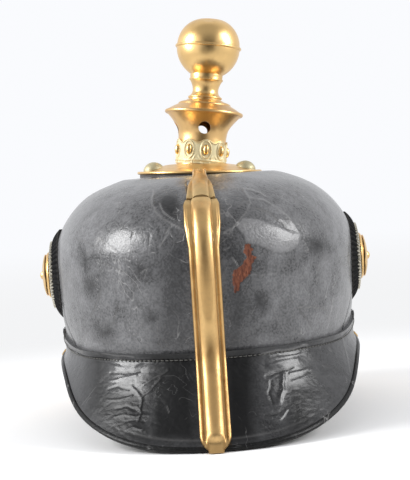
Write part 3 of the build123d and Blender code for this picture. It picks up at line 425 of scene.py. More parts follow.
class Graph:
    """A node tree, written as expressions."""

    def __init__(self, tree: bpy.types.NodeTree, output: str = "", shader: str = "") -> None:
        """Empties a tree and, if they are named, gives it an output node that shows a shader.

        Args:
            tree: The tree.
            output: The output node's type.
            shader: The shader node's type.
        """
        self.tree = tree
        tree.nodes.clear()
        if shader:
            self.shader = tree.nodes.new(shader)
            tree.links.new(self.shader.outputs[0], tree.nodes.new(output).inputs["Surface"])

    def node(self, kind: str, settings: dict, inputs: dict) -> bpy.types.Node:
        """Adds a node.

        Args:
            kind: The node's type.
            settings: Its own settings, and a ramp's stops.
            inputs: Values or links of its sockets, by name or number.

        Returns:
            The node.
        """
        node = self.tree.nodes.new(kind)
        for key, value in settings.items():
            setattr(node, key, value)
        for key, value in inputs.items():
            self.feed(node.inputs[key], value)
        return node

    def feed(self, socket: bpy.types.NodeSocket, value: object) -> None:
        """Links a socket or sets its value.

        Args:
            socket: The socket.
            value: What to link or to set, with a colour as three numbers.
        """
        if isinstance(value, Signal):
            self.tree.links.new(value.socket, socket)
        elif isinstance(value, bpy.types.NodeSocket):
            self.tree.links.new(value, socket)
        elif isinstance(value, tuple) and socket.type == "RGBA":
            socket.default_value = (*value, 1.0)
        else:
            socket.default_value = value

    def math(self, operation: str, first: object, second: object, clamp: bool = False) -> Signal:
        """One Math node on two values."""
        settings = {"operation": operation, "use_clamp": clamp}
        return Signal(self, self.node("ShaderNodeMath", settings, {0: first, 1: second}).outputs[0])


class Surface(Graph):
    """A material's nodes, written as expressions."""

    def __init__(self, name: str) -> None:
        """Starts an empty material with one Principled shader.

        Args:
            name: The material's name.
        """
        self.material = bpy.data.materials.new(name)
        self.material.use_nodes = True
        super().__init__(self.material.node_tree, "ShaderNodeOutputMaterial", "ShaderNodeBsdfPrincipled")

    def places(self, stretch: Spot = (1.0, 1.0, 1.0)) -> bpy.types.NodeSocket:
        """Object coordinates, each multiplied by its own factor.

        Args:
            stretch: The factors.

        Returns:
            The coordinates.
        """
        spot = self.node("ShaderNodeTexCoord", {}, {}).outputs["Object"]
        if stretch == (1.0, 1.0, 1.0):
            return spot
        return self.node("ShaderNodeVectorMath", {"operation": "MULTIPLY"}, {0: spot, 1: stretch}).outputs[0]

    def noise(
        self, size: float, detail: float = 3.0, stretch: Spot = (1.0, 1.0, 1.0), twist: float = 0.0
    ) -> Signal:
        """Noise from 0 to 1, from its size in metres, its octaves, its stretch and its distortion."""
        inputs = {"Vector": self.places(stretch), "Scale": 1 / size, "Detail": detail, "Distortion": twist}
        return Signal(self, self.node("ShaderNodeTexNoise", {}, inputs).outputs[0])

    def cracks(self, size: float, stretch: Spot = (1.0, 1.0, 1.0)) -> Signal:
        """Distance to the edges of random cells.

        Args:
            size: Size of a cell in metres.
            stretch: Factors on the coordinates.

        Returns:
            The distance in cells.
        """
        inputs = {"Vector": self.places(stretch), "Scale": 1 / size}
        node = self.node("ShaderNodeTexVoronoi", {"feature": "DISTANCE_TO_EDGE"}, inputs)
        return Signal(self, node.outputs["Distance"])

    def attribute(self, name: str) -> Signal:
        """A value stored on the piece's points."""
        return Signal(self, self.node("ShaderNodeAttribute", {"attribute_name": name}, {}).outputs["Fac"])

    def blend(self, share: "Signal | float", first: object, second: object) -> bpy.types.NodeSocket:
        """Colour between two colours.

        Args:
            share: Share of the second colour.
            first: The first colour.
            second: The second colour.

        Returns:
            The colour.
        """
        node = self.node("ShaderNodeMix", {"data_type": "RGBA"}, {"Factor": share})
        self.feed(node.inputs[6], first)
        self.feed(node.inputs[7], second)
        return node.outputs[2]

    def bump(self, height: Signal, depth: float) -> bpy.types.NodeSocket:
        """Normal from a height from 0 to 1 that stands for a depth in metres."""
        inputs = {"Height": height, "Distance": depth, "Strength": 1.0}
        return self.node("ShaderNodeBump", {}, inputs).outputs["Normal"]

    def finish(self, **inputs: object) -> bpy.types.Material:
        """Sets the shader's sockets.

        Args:
            inputs: The sockets' values, named with underscores for spaces.

        Returns:
            The material.
        """
        for key, value in inputs.items():
            self.feed(self.shader.inputs[key.replace("_", " ")], value)
        return self.material


class Room(Graph):
    """The world's nodes, written as expressions."""

    def __init__(self, name: str) -> None:
        """Starts an empty world with one Background shader.

        Args:
            name: The world's name.
        """
        world = bpy.data.worlds.new(name)
        world.use_nodes = True
        bpy.context.scene.world = world
        super().__init__(world.node_tree, "ShaderNodeOutputWorld", "ShaderNodeBackground")


@dataclass(frozen=True)
class Lacquer:
    """Black lacquer on leather: hazy in blotches, crazed, scratched, and bare where it has flaked off;
    painted darker in dark spots and painted shade, and lighter in painted glints and a painted highlight on
    the flake.
    """

    name: str
    gloss: float = 0.25
    haze: float = 0.08
    haze_colour: Colour = (0.165, 0.165, 0.17)
    black: Colour = (0.006, 0.006, 0.0065)
    bare_colour: Colour = (0.075, 0.02, 0.01)
    shine: float = 0.4
    coat: float = 0.45
    coat_gloss: float = 0.13
    dents: float = 0.6
    crinkle: float = 0.0
    satin: float = 0.0
    pebble: float = 0.34
    hair: float = 0.5

    @staticmethod
    def hairlines(graph: Surface, size: float, level: float) -> Signal:
        """Long narrow wandering scratches: the places where a noise passes a level, in some areas only.

        Args:
            graph: The material's nodes.
            size: Size of the noise's blotches in metres.
            level: The level.

        Returns:
            The scratches, from 0 to 1.
        """
        drift = graph.noise(size, 2.5, (1.0, 1.0, 0.7), twist=1.2) - level
        line = 1 - graph.math("ABSOLUTE", drift, 0.0).within(0.0, 0.0055)
        return line * graph.noise(size * 0.6, 2.0).within(0.5, 0.62)

    def build(self) -> bpy.types.Material:
        """Makes the material.

        Returns:
            The material.
        """
        graph = Surface(self.name)
        cloud = graph.noise(0.022, 7.0, twist=0.8).within(0.36, 0.66)
        patchy = graph.noise(0.0055, 5.0, twist=0.4).within(0.3, 0.72)
        grain = graph.noise(0.0013, 3.0)
        # Dark spots in the lacquer, and painted shade: dark bands beside the spine, dark creases, and dark
        # patches on the peak's skirt.
        dusk = graph.attribute("dusk")
        free_of_spots_and_shade = 1 - (dusk * 0.95).held()
        speck = grain.within(0.36, 0.64)
        # The haze is cut where the lacquer has dark spots or painted shade.
        dull = free_of_spots_and_shade * (0.17 + cloud * 0.3 + patchy * 0.22 + speck * 0.3)
        flake = graph.attribute("flake").within(0.42, 0.58)
        scar = graph.attribute("scar")
        bare = (graph.attribute("bare") + graph.noise(0.0021, 4.0) * 0.34 - 0.17).within(0.47, 0.52)
        # The flake is painted lighter as well: a painted highlight of the lamp on its lifted lacquer.
        haze_with_painted_light = (dull + flake * 0.35).held()
        fibre = graph.noise(0.0011, 4.0, (1.0, 1.0, 0.35)).within(0.3, 0.7)
        skin = graph.blend(fibre * (0.5 + patchy * 0.5), self.bare_colour, (0.22, 0.07, 0.032))
        film = graph.blend(haze_with_painted_light, self.black, self.haze_colour)
        hair = self.hairlines(graph, 0.031, 0.5) + self.hairlines(graph, 0.019, 0.47)
        # Pale colour for scratches and hairlines, with painted glints on the peak's wrinkles and a painted
        # highlight on the flake.
        film = graph.blend((scar * 1.1 + flake * 0.14 + hair * self.hair).held(), film, (0.3, 0.295, 0.29))
        colour = graph.blend(bare, film, skin)
        rough = (self.gloss + self.haze * haze_with_painted_light + scar * 0.1 + dusk * self.satin) * (1 - bare) + bare * 0.8
        height = (
            graph.noise(0.0045, 3.0) * 0.5 + speck * self.pebble + fibre * bare * 0.9 - bare * 0.5
            - hair * self.hair + graph.noise(0.012, 3.0) * self.dents
            + graph.cracks(0.006, (1.0, 1.0, 1.7)) * self.crinkle
        )
        return graph.finish(
            Base_Color=colour, Roughness=rough.held(), Normal=graph.bump(height, 0.0002),
            Coat_Weight=((1 - bare) * (self.coat - haze_with_painted_light * self.coat * 0.6) * (1 - dusk)).held(),
            Coat_Roughness=self.coat_gloss, Specular_IOR_Level=self.shine,
        )


@dataclass(frozen=True)
class Metal:
    """Worn metal: brighter where it is rubbed, darker where an attribute or a noise tarnishes it, and where
    the attribute carries painted shade.
    """

    name: str
    bright: Colour
    dull: Colour
    gloss: float = 0.2
    roughening: float = 0.2
    tarnish: float = 0.35
    crust: Colour = (0.42, 0.46, 0.32)
    crusted: float = 0.0
    veil: float = 0.0

    def build(self) -> bpy.types.Material:
        """Makes the material.

        Returns:
            The material.
        """
        graph = Surface(self.name)
        cloud = graph.noise(0.016, 5.0, twist=0.6).within(0.42, 0.72)
        fine = graph.noise(0.0022, 4.0)
        rubbed = graph.noise(0.0011, 3.0, (1.0, 1.0, 0.12))
        # The tarnish attribute, which on the spine's lower flanks is painted shade.
        patch = graph.attribute("tarnish")
        stain = (cloud * self.tarnish + patch * 0.75 + (fine - 0.5) * 0.25).held()
        colour = graph.blend(stain, self.bright, self.dull)
        hollow = graph.attribute("hollow")
        crust = ((hollow * 1.2 + (fine - 0.5) * 0.9 + self.veil).held() * self.crusted).held()
        colour = graph.blend(crust, colour, self.crust)
        rough = self.gloss + stain * self.roughening + (fine - 0.5) * 0.08 + crust * 0.35
        height = fine * 0.3 + rubbed * 0.25 + graph.noise(0.009, 2.0) * 0.9
        return graph.finish(
            Base_Color=colour, Metallic=(1 - crust * 0.75).held(), Roughness=rough.held(),
            Normal=graph.bump(height, 0.00007),
        )


@dataclass(frozen=True)
class Hide:
    """Undyed or dyed leather without lacquer, with its grain and handling marks."""

    name: str
    colour: Colour
    mark: Colour
    rough: float = 0.62

    def build(self) -> bpy.types.Material:
        """Makes the material.

        Returns:
            The material.
        """
        graph = Surface(self.name)
        stain = graph.noise(0.022, 6.0, twist=0.8).within(0.35, 0.7)
        pore = graph.cracks(0.0011).within(0.0, 0.16)
        grain = graph.noise(0.0016, 5.0)
        colour = graph.blend((stain * 0.8 + (1 - pore) * 0.3).held(), self.colour, self.mark)
        rough = self.rough + (grain - 0.5) * 0.2 - stain * 0.08
        height = pore * 0.5 + grain * 0.5 + graph.noise(0.008, 3.0) * 0.8
        return graph.finish(Base_Color=colour, Roughness=rough.held(), Normal=graph.bump(height, 0.00018))


@dataclass(frozen=True)
class Paint:
    """Black varnish on pressed metal, rubbed through to grey on its edges."""

    name: str
    colour: Colour = (0.003, 0.003, 0.0033)
    rub: Colour = (0.035, 0.033, 0.03)

    def build(self) -> bpy.types.Material:
        """Makes the material.

        Returns:
            The material.
        """
        graph = Surface(self.name)
        edge = graph.attribute("edge")
        speck = graph.noise(0.0014, 4.0)
        rub = (edge * 1.1 + (speck - 0.5) * 1.4 - 0.35).held()
        colour = graph.blend(rub * 0.6, self.colour, self.rub)
        rough = 0.54 + graph.noise(0.011, 4.0) * 0.18 + rub * 0.1
        height = speck * 0.5 + graph.noise(0.004, 2.0)
        return graph.finish(
            Base_Color=colour, Roughness=rough.held(), Normal=graph.bump(height, 0.0001),
            Specular_IOR_Level=0.09,
        )


@dataclass(frozen=True)
class Weave:
    """Cotton lace or thread, with its strands across the coordinates."""

    name: str
    colour: Colour
    shade: Colour
    strand: float = 0.0005

    def build(self) -> bpy.types.Material:
        """Makes the material.

        Returns:
            The material.
        """
        graph = Surface(self.name)
        spot = graph.node("ShaderNodeTexWave", {"bands_direction": "DIAGONAL"}, {
            "Vector": graph.places(), "Scale": 1 / self.strand / FULL_TURN, "Distortion": 1.5,
        })
        strand = Signal(graph, spot.outputs["Fac"])
        dirt = graph.noise(0.006, 4.0)
        colour = graph.blend((strand * 0.5 + dirt * 0.5).held(), self.shade, self.colour)
        return graph.finish(Base_Color=colour, Roughness=0.85 - dirt * 0.1, Normal=graph.bump(strand, 0.0002))


class Palette:
    """All finishes of the helmet."""

    def __init__(self) -> None:
        """Builds each finish once."""
        self.skull = Lacquer("skull lacquer").build()
        self.peak = Lacquer(
            "peak lacquer", gloss=0.22, haze=0.15, haze_colour=(0.044, 0.044, 0.046),
            black=(0.002, 0.002, 0.0022), shine=0.28, coat=0.45, coat_gloss=0.12, dents=1.6, crinkle=1.0,
            satin=0.12, pebble=0.05, hair=0.2,
        ).build()
        self.binding = Lacquer(
            "binding lacquer", haze_colour=(0.012, 0.012, 0.012), black=(0.002, 0.002, 0.002), gloss=0.32,
            shine=0.12, coat=0.12,
        ).build()
        self.thread = Weave("waxed thread", (0.15, 0.145, 0.13), (0.03, 0.03, 0.028)).build()
        self.brass = Metal(
            "brass", (0.8, 0.535, 0.228), (0.46, 0.285, 0.107), gloss=0.3, roughening=0.16
        ).build()
        self.brown_brass = Metal(
            "brown brass", (0.76, 0.495, 0.215), (0.43, 0.25, 0.095), gloss=0.3, roughening=0.14, tarnish=0.5
        ).build()
        self.worn_brass = Metal(
            "worn brass", (0.72, 0.47, 0.2), (0.36, 0.21, 0.08), gloss=0.35, roughening=0.14, tarnish=0.5,
            crust=(0.36, 0.3, 0.16), crusted=0.5,
        ).build()
        self.old_brass = Metal(
            "old brass", (0.7, 0.53, 0.27), (0.40, 0.31, 0.15), gloss=0.3, tarnish=0.5,
            crust=(0.62, 0.57, 0.37), crusted=0.9,
        ).build()
        self.stud = Metal(
            "stud brass", (0.62, 0.52, 0.3), (0.3, 0.25, 0.14), gloss=0.3, tarnish=0.6,
            crust=(0.42, 0.41, 0.29), crusted=0.7, veil=0.55,
        ).build()
        self.silver = Metal(
            "tarnished silver", (0.74, 0.70, 0.6), (0.3, 0.25, 0.17), gloss=0.24, crust=(0.2, 0.19, 0.12),
            crusted=0.7,
        ).build()
        self.steel = Metal("steel", (0.46, 0.45, 0.44), (0.16, 0.12, 0.09), gloss=0.36).build()
        self.black = Paint("black varnish").build()
        self.tan = Hide("tan leather", (0.36, 0.20, 0.10), (0.16, 0.08, 0.04)).build()
        self.strap = Hide("strap leather", (0.035, 0.03, 0.027), (0.07, 0.055, 0.045), rough=0.5).build()
        self.green = Hide("green lining", (0.045, 0.075, 0.04), (0.09, 0.09, 0.05)).build()
        self.red = Hide("red lining", (0.26, 0.035, 0.025), (0.12, 0.03, 0.02)).build()
        self.lace = Weave("lace", (0.55, 0.49, 0.38), (0.26, 0.21, 0.15)).build()


# Where the reference picture was taken from

@dataclass(frozen=True)
class Viewpoint:
    """The camera, and the place of its picture's pixels on the helmet."""

    axis_y: float
    distance: float = 0.950
    eye_height: float = 0.147
    aside: float = 0.00102
    down: float = 0.0438
    roll: float = math.radians(-3.6)
    focal_pixels: float = 1552.0
    width: int = 410
    height: int = 480
    sensor: float = 36.0

    @property
    def axes(self) -> np.ndarray:
        """The camera's right, up and forward directions.

        Returns:
            The directions, one row each.
        """
        forward = Vector((self.aside, 1.0, -self.down)).normalized()
        right = forward.cross(Vector((0, 0, 1))).normalized()
        up = right.cross(forward)
        turned_right = right * math.cos(self.roll) + up * math.sin(self.roll)
        turned_up = up * math.cos(self.roll) - right * math.sin(self.roll)
        return np.array([turned_right, turned_up, forward])

    @property
    def eye(self) -> np.ndarray:
        """The camera's place."""
        return np.array([0, self.axis_y - self.distance, self.eye_height])

    def pixels(self, points: np.ndarray) -> np.ndarray:
        """Pixels at which points show.

        Args:
            points: Points in metres, one row each.

        Returns:
            Pixel coordinates, one row each.
        """
        seen = (points - self.eye) @ self.axes.T
        across = seen[:, 0] / seen[:, 2] * self.focal_pixels + self.width / 2
        along = self.height / 2 - seen[:, 1] / seen[:, 2] * self.focal_pixels
        return np.stack([across, along], axis=1)

    def camera(self) -> None:
        """Makes the scene's camera."""
        right, up, forward = self.axes
        data = bpy.data.cameras.new("camera")
        data.sensor_width = self.sensor
        data.lens = self.focal_pixels / self.height * self.sensor
        camera = linked("camera", data)
        turn = Matrix(np.array([right, up, -forward]).T.tolist()).to_4x4()
        camera.matrix_world = Matrix.Translation(Vector(self.eye)) @ turn
        bpy.context.scene.camera = camera


@dataclass(frozen=True)
class Patch:
    """An area of the leather, outlined in pixels of the reference picture."""

    corners: tuple[Pair, ...]
    rise: float = 0.0
    slope: float = 1.5

    def distance(self, pixels: np.ndarray) -> np.ndarray:
        """Distance to the outline, negative inside.

        Args:
            pixels: Places in the picture, one row each.

        Returns:
            The distances in pixels.
        """
        inside = np.zeros(len(pixels), bool)
        x, y = pixels.T
        for (x0, y0), (x1, y1) in zip(self.corners, (*self.corners[1:], self.corners[0])):
            crosses = (y0 > y) != (y1 > y)
            meets = (x1 - x0) * (y - y0) / (y1 - y0 if y1 != y0 else 1e-9) + x0
            inside ^= crosses & (x < meets)
        away = Stroke((*self.corners, self.corners[0])).distance(pixels)
        return np.where(inside, -away, away)


@dataclass(frozen=True)
class Stroke:
    """A scratch, crease or fold, drawn along pixels of the reference picture."""

    points: tuple[Pair, ...]
    width: float = 1.2
    rise: float = -0.15
    # Share of pale colour along the line: a real scratch on the skull, and a painted glint along a wrinkle's
    # ridge on the peak.
    scar: float = 0.0

    def distance(self, pixels: np.ndarray) -> np.ndarray:
        """Distance to the stroke.

        Args:
            pixels: Places in the picture, one row each.

        Returns:
            The distances in pixels.
        """
        best = np.full(len(pixels), 1e9)
        for start, end in zip(self.points, self.points[1:]):
            a, b = np.array(start, float), np.array(end, float)
            run = b - a
            share = np.clip((pixels - a) @ run / max(run @ run, 1e-9), 0, 1)
            best = np.minimum(best, np.linalg.norm(pixels - a - share[:, None] * run, axis=1))
        return best


@dataclass(frozen=True)
class Wear:
    """The wear seen on one piece of leather, with the painted shade and painted glints laid with it."""

    bare: tuple[Patch, ...] = ()
    flakes: tuple[Patch, ...] = ()
    # Patches painted dark: real dark spots on the skull, and painted shade on the peak.
    dusk: tuple[Patch, ...] = ()
    # Broad bands of painted shade.
    thin: tuple[Patch, ...] = ()
    strokes: tuple[Stroke, ...] = ()
    edge_pixels: float = 8.0

    def apply(self, points: np.ndarray, view: Viewpoint) -> tuple[np.ndarray, dict[str, np.ndarray]]:
        """Works out how the wear lifts and marks the leather, and where shade and glints are painted.

        Args:
            points: Points of the leather that face the picture, one row each.
            view: The picture's viewpoint.

        Returns:
            The lift of each point in metres, and the marks by name.
        """
        pixels = view.pixels(points)
        jitter = np.stack([smooth_noise(points, 0.004, seed) for seed in (3, 4)], axis=1)
        steady = soft_step(np.abs(points[:, 0]), 88 * MM, 66 * MM)
        pixels = pixels + jitter * 0.9 * steady[:, None]
        lift = np.zeros(len(points))
        marks = {name: np.zeros(len(points)) for name in ("bare", "flake", "dusk", "scar")}
        for name, patches in (("bare", self.bare), ("flake", self.flakes), ("dusk", self.dusk)):
            for patch in patches:
                away = patch.distance(pixels)
                lift += patch.rise * MM * soft_step(away, patch.slope, -patch.slope)
                share = np.clip(0.5 - away / (2 * self.edge_pixels), 0, 1)
                marks[name] = np.maximum(marks[name], share)
        # Painted shade: broad bands painted darker, at a weaker share than the dark spots.
        for patch in self.thin:
            share = np.clip(0.5 - patch.distance(pixels) / (3 * self.edge_pixels), 0, 1)
            marks["dusk"] = np.maximum(marks["dusk"], 0.62 * share)
        for stroke in self.strokes:
            away = stroke.distance(pixels)
            line = bell(away, 0, stroke.width)
            lift += stroke.rise * MM * line
            # Sunken creases are also painted dark along their line: painted shade in the crease.
            if stroke.rise < 0:
                marks["dusk"] = np.maximum(marks["dusk"], 0.9 * line)
            # Pale lines: real scratches on the skull, and painted glints along the peak's wrinkles.
            marks["scar"] = np.maximum(marks["scar"], stroke.scar * line**2)
        return lift, marks


SKULL_WEAR_AND_PAINTED_LIGHT = Wear(
    bare=(
        Patch((
            (243.8, 243.6), (249.4, 244.4), (252.5, 248.6), (251.8, 254.2), (256.2, 256.6), (254.9, 261),
            (251.2, 264), (251.8, 271.8), (244.8, 279.2), (238.8, 282.9), (239.6, 290.3), (233.7, 292.1),
            (234, 285.6), (232.4, 281), (233.7, 270.8), (238.8, 269), (243.8, 263.4), (247, 257),
            (243.8, 251.4),
        ), rise=-0.45, slope=0.8),
    ),
    flakes=(
        Patch((
            (235.5, 225.5), (243.8, 218.5), (257.7, 220), (276.2, 225.5), (291, 231), (301.2, 234.8),
            (298.4, 244), (291, 251.4), (279.9, 252.3), (267, 249.6), (254, 244), (244.8, 243),
            (243.8, 234.8),
        ), rise=0.55, slope=1.6),
    ),
    dusk=(
        Patch((
            (155, 194), (154, 205), (159, 213), (168, 220), (178, 221), (182, 205), (179, 190), (166, 187),
        ), rise=-0.5, slope=3),
        Patch(((86, 279), (94, 278), (97, 286), (92, 294), (86, 290))),
        Patch(((150, 312), (158, 313), (160, 320), (153, 325), (148, 319)), rise=-0.2),
        Patch(((254, 294), (262, 294), (266, 302), (264, 310), (257, 306)), rise=-0.2),
        Patch(((305, 236), (322, 236), (330, 248), (322, 256), (308, 250))),
        Patch(((82, 250), (88, 258), (98, 256), (90, 263), (86, 271), (82, 262))),
        Patch(((97, 327), (110, 325), (114, 334), (106, 341), (97, 337))),
        Patch(((130, 262), (148, 266), (150, 276), (138, 276))),
    ),
    # Painted shade beside the spine, from the crown down, where the lacquer reflects the dark room around the
    # camera.
    thin=(
        Patch(((162, 240), (192, 222), (192, 350), (150, 350), (158, 300))),
        Patch(((150, 190), (186, 184), (186, 226), (160, 216))),
        Patch((
            (222, 205), (240, 200), (248, 216), (240, 240), (258, 262), (252, 290), (248, 350), (222, 350),
        )),
    ),
    strokes=(
        Stroke(((153, 191), (151.5, 204), (157, 214.5), (168, 222.5), (183, 229)), 0.91, 0.32, 0.35),
        Stroke(((187, 182), (188, 200), (188, 222)), 0.91, -0.38),
        Stroke(((159, 203), (164, 213), (173, 219)), 0.7, 0.22, 0.5),
        Stroke((
            (242.9, 188.5), (248.5, 195.9), (250.3, 203.3), (244.8, 214.4), (233.7, 227.4),
        ), 0.84, 0.3, 0.3),
        Stroke(((250.3, 197.8), (263.3, 199.6), (276.2, 207), (289.2, 218), (298.4, 232.9)), 0.98, 0.3, 0.3),
        Stroke(((254, 207), (268.8, 212.6), (283.6, 223.7), (292.9, 232.9)), 0.91, -0.26, 0.35),
        Stroke(((246, 189), (256, 192), (266, 196)), 0.84, 0.26, 0.4),
        Stroke(((249, 204), (243, 200), (239, 207)), 0.77, -0.22, 0.3),
        Stroke(((250.3, 274.5), (265, 275.8), (276.2, 273.6)), 0.77, 0.22, 0.25),
        Stroke(((232, 257), (238, 266)), 0.7, -0.15, 0.7),
        Stroke(((256, 257), (262, 254), (268, 251)), 0.7, 0.19, 0.2),
        Stroke(((298.4, 307.8), (313.2, 306.9), (328, 310.6)), 0.77, -0.19, 0.4),
        Stroke(((300, 310), (306, 318), (312, 327)), 0.7, -0.15, 0.25),
        Stroke(((333.6, 295.8), (331, 312), (328, 329)), 0.7, 0.11, 0.3),
        Stroke(((98.4, 238.4), (106, 243), (115, 250.5)), 0.7, -0.17, 0.5),
        Stroke(((95, 246), (101, 238), (104, 240)), 0.7, -0.15, 0.35),
        Stroke(((102, 262.5), (113, 267), (126, 273.6)), 0.7, -0.19, 0.45),
        Stroke(((105, 270), (116, 271), (124, 276)), 0.7, 0.15, 0.4),
        Stroke(((80, 247), (86, 262), (85, 271)), 0.91, -0.22),
        Stroke(((96, 254), (86, 261), (100, 257)), 0.84, -0.19),
        Stroke(((132.6, 233), (131, 238)), 0.84, -0.22, 0.2),
        Stroke(((149.5, 234.7), (148, 244)), 0.84, -0.22, 0.2),
        Stroke(((168.7, 227), (165, 234)), 0.84, -0.22, 0.4),
        Stroke(((170, 232), (160, 246)), 0.7, 0.15, 0.4),
        Stroke(((128, 252), (136, 249)), 0.7, 0.11, 0.3),
        Stroke(((100, 290), (96, 303), (90, 317)), 0.7, -0.09, 0.25),
        Stroke(((118, 303), (112, 325)), 0.7, -0.08, 0.2),
        Stroke(((74, 238), (88, 243), (93, 247)), 0.7, -0.11, 0.25),
        Stroke(((140, 273), (147, 268), (143, 279)), 0.77, -0.19, 0.3),
        Stroke(((62.5, 303), (66, 322), (72, 338), (77, 348)), 0.65, -0.3),
        Stroke(((351.5, 292), (349.5, 305), (345.5, 321), (342, 332)), 0.6, -0.3),
        Stroke(((230, 247), (224, 250)), 0.7, 0.15, 0.3),
    ),
)

PEAK_WEAR_AND_PAINTED_LIGHT = Wear(
    # Painted shade: the lower skirt and the middle of the peak are painted dark and lose their coat, so that
    # they don't catch the lamps.
    dusk=(
        Patch(((90, 352), (108, 352), (108, 388), (150, 392), (150, 445), (112, 440), (88, 405))),
        Patch(((290, 384), (314, 384), (314, 428), (290, 434))),
        Patch(((150, 385), (176, 392), (180, 425), (160, 432), (150, 410))),
        Patch(((146, 352), (192, 352), (196, 440), (150, 440))),
        Patch(((226, 352), (254, 350), (256, 440), (226, 445))),
    ),
    # Wrinkles; the pale share of some of them is a painted glint along their ridges.
    strokes=(
        Stroke(((112, 362), (124, 366), (138, 364)), 3.1, 0.38),
        Stroke(((110, 372), (124, 373), (140, 371)), 0.99, -0.25),
        Stroke(((108.6, 380.5), (121, 378), (135.4, 374.4)), 0.93, 0.25),
        Stroke(((107, 388), (118, 386), (128, 388)), 0.99, -0.2),
        Stroke(((106.8, 399.4), (118, 398.5), (130.8, 394.8)), 0.93, 0.25),
        Stroke(((130.8, 384.6), (141, 397.5), (139, 408.6)), 0.87, 0.25),
        Stroke(((139, 397.5), (150, 388), (160.4, 377.2)), 0.81, 0.25, 0.1),
        Stroke(((142, 384), (152, 378), (168, 370)), 0.81, 0.23, 0.1),
        Stroke(((114, 408), (124, 405), (134, 408)), 0.93, -0.23),
        Stroke(((114, 416), (124, 413.5), (133.6, 415), (148.4, 414)), 0.87, 0.25),
        Stroke(((117, 427), (122.5, 431.7), (131.7, 426.2), (141, 429), (150.2, 423.4)), 0.93, 0.35),
        Stroke(((124, 421), (134, 419), (144, 421)), 0.87, -0.2),
        Stroke(((136, 404), (140, 412), (137, 420)), 0.81, 0.2),
        Stroke(((166, 404), (168, 412)), 0.74, 0.15, 0.2),
        Stroke(((262, 353.5), (284, 350), (306, 345.5)), 1.61, 0.32, 0.3),
        Stroke(((270, 357), (288, 354.5), (300, 352)), 0.9, 0.25, 0.2),
        Stroke(((100, 352), (116, 355), (134, 357)), 0.95, 0.25, 0.2),
        Stroke(((270, 365), (284, 362), (298.4, 359)), 2.6, 0.4),
        Stroke(((267, 375.5), (278, 371), (294.7, 366.4)), 0.93, -0.25),
        Stroke(((291, 372.7), (300, 371), (309.5, 368)), 0.87, 0.25, 0.1),
        Stroke(((292, 378), (302, 375), (312, 370)), 0.87, -0.17),
        Stroke(((283.6, 373.5), (284.6, 388.3), (279.9, 399.4)), 2.23, 0.4),
        Stroke(((272, 380), (270, 392), (274, 402)), 1.24, -0.2),
        Stroke(((259.6, 416), (268.8, 420.3), (279.9, 417.9), (287.3, 408.7)), 0.99, 0.4),
        Stroke(((261.4, 406.8), (267, 409.5), (272.5, 408.7)), 0.87, 0.25),
        Stroke(((266, 414), (274, 414), (282, 410)), 0.93, -0.25),
        Stroke(((300, 392), (306, 396), (312, 398)), 0.68, 0.1, 0.2),
        Stroke(((340, 330), (348, 356), (351, 372)), 0.68, 0.12, 0.15),
    ),
)


# The helmet's body, read from the frame

@dataclass(frozen=True)
class Body:
    """Measures of the helmet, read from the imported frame."""

    axis_y: float
    ear_height: float
    stretch: float
    finial: Matrix
    head_height: float = 0.06

    @classmethod
    def read(cls) -> "Body":
        """Reads the axis, the ear line and the finial's lean from the joints and boxes.

        Returns:
            The measures.
        """
        joints = {joint["name"]: joint for joint in frame["joints"]}
        ear = joints["chin_scales_swing"]["pos_m"]
        turn = joints["ball_turn"]
        low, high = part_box("skull")
        size = high - low
        up = Vector(turn["axis"]).normalized()
        aside = (Vector((1, 0, 0)) - up * up.x).normalized()
        return cls(ear[1], ear[2], size.y / size.x, frame_at(turn["pos_m"], aside, up))

    def oval(self, reach: np.ndarray, turn: np.ndarray, height: np.ndarray, facing: Facing) -> np.ndarray:
        """Points on level ovals around the helmet's axis.

        Args:
            reach: Half widths of the ovals.
            turn: Angle from the middle of the peak, in radians.
            height: Heights.
            facing: Which end the angle starts from.

        Returns:
            The points, with the coordinates last.
        """
        depth = self.axis_y + facing.value * self.stretch * reach * np.cos(turn)
        across, height = np.broadcast_arrays(reach * np.sin(turn), height)
        return np.stack([across, np.broadcast_to(depth, across.shape), height], axis=-1)

    def reach(self, point: Vector) -> float:
        """Half width of the level oval through a point."""
        return math.hypot(point.x, (point.y - self.axis_y) / self.stretch)

    def outwards(self, normal: np.ndarray, points: np.ndarray) -> np.ndarray:
        """Normals at points, turned away from the middle of the head."""
        middle = [0, self.axis_y, self.head_height]
        return normal * np.sign(np.sum(normal * (points - middle), axis=-1, keepdims=True))


def surface_of(*names: str) -> BVHTree:
    """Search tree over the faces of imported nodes.

    Args:
        names: The nodes.

    Returns:
        The tree.
    """
    points, faces = [], []
    for name in names:
        mesh = frame["nodes"][name].data
        start = len(points)
        points += [vertex.co.copy() for vertex in mesh.vertices]
        faces += [[start + index for index in face.vertices] for face in mesh.polygons]
    return BVHTree.FromPolygons(points, faces)


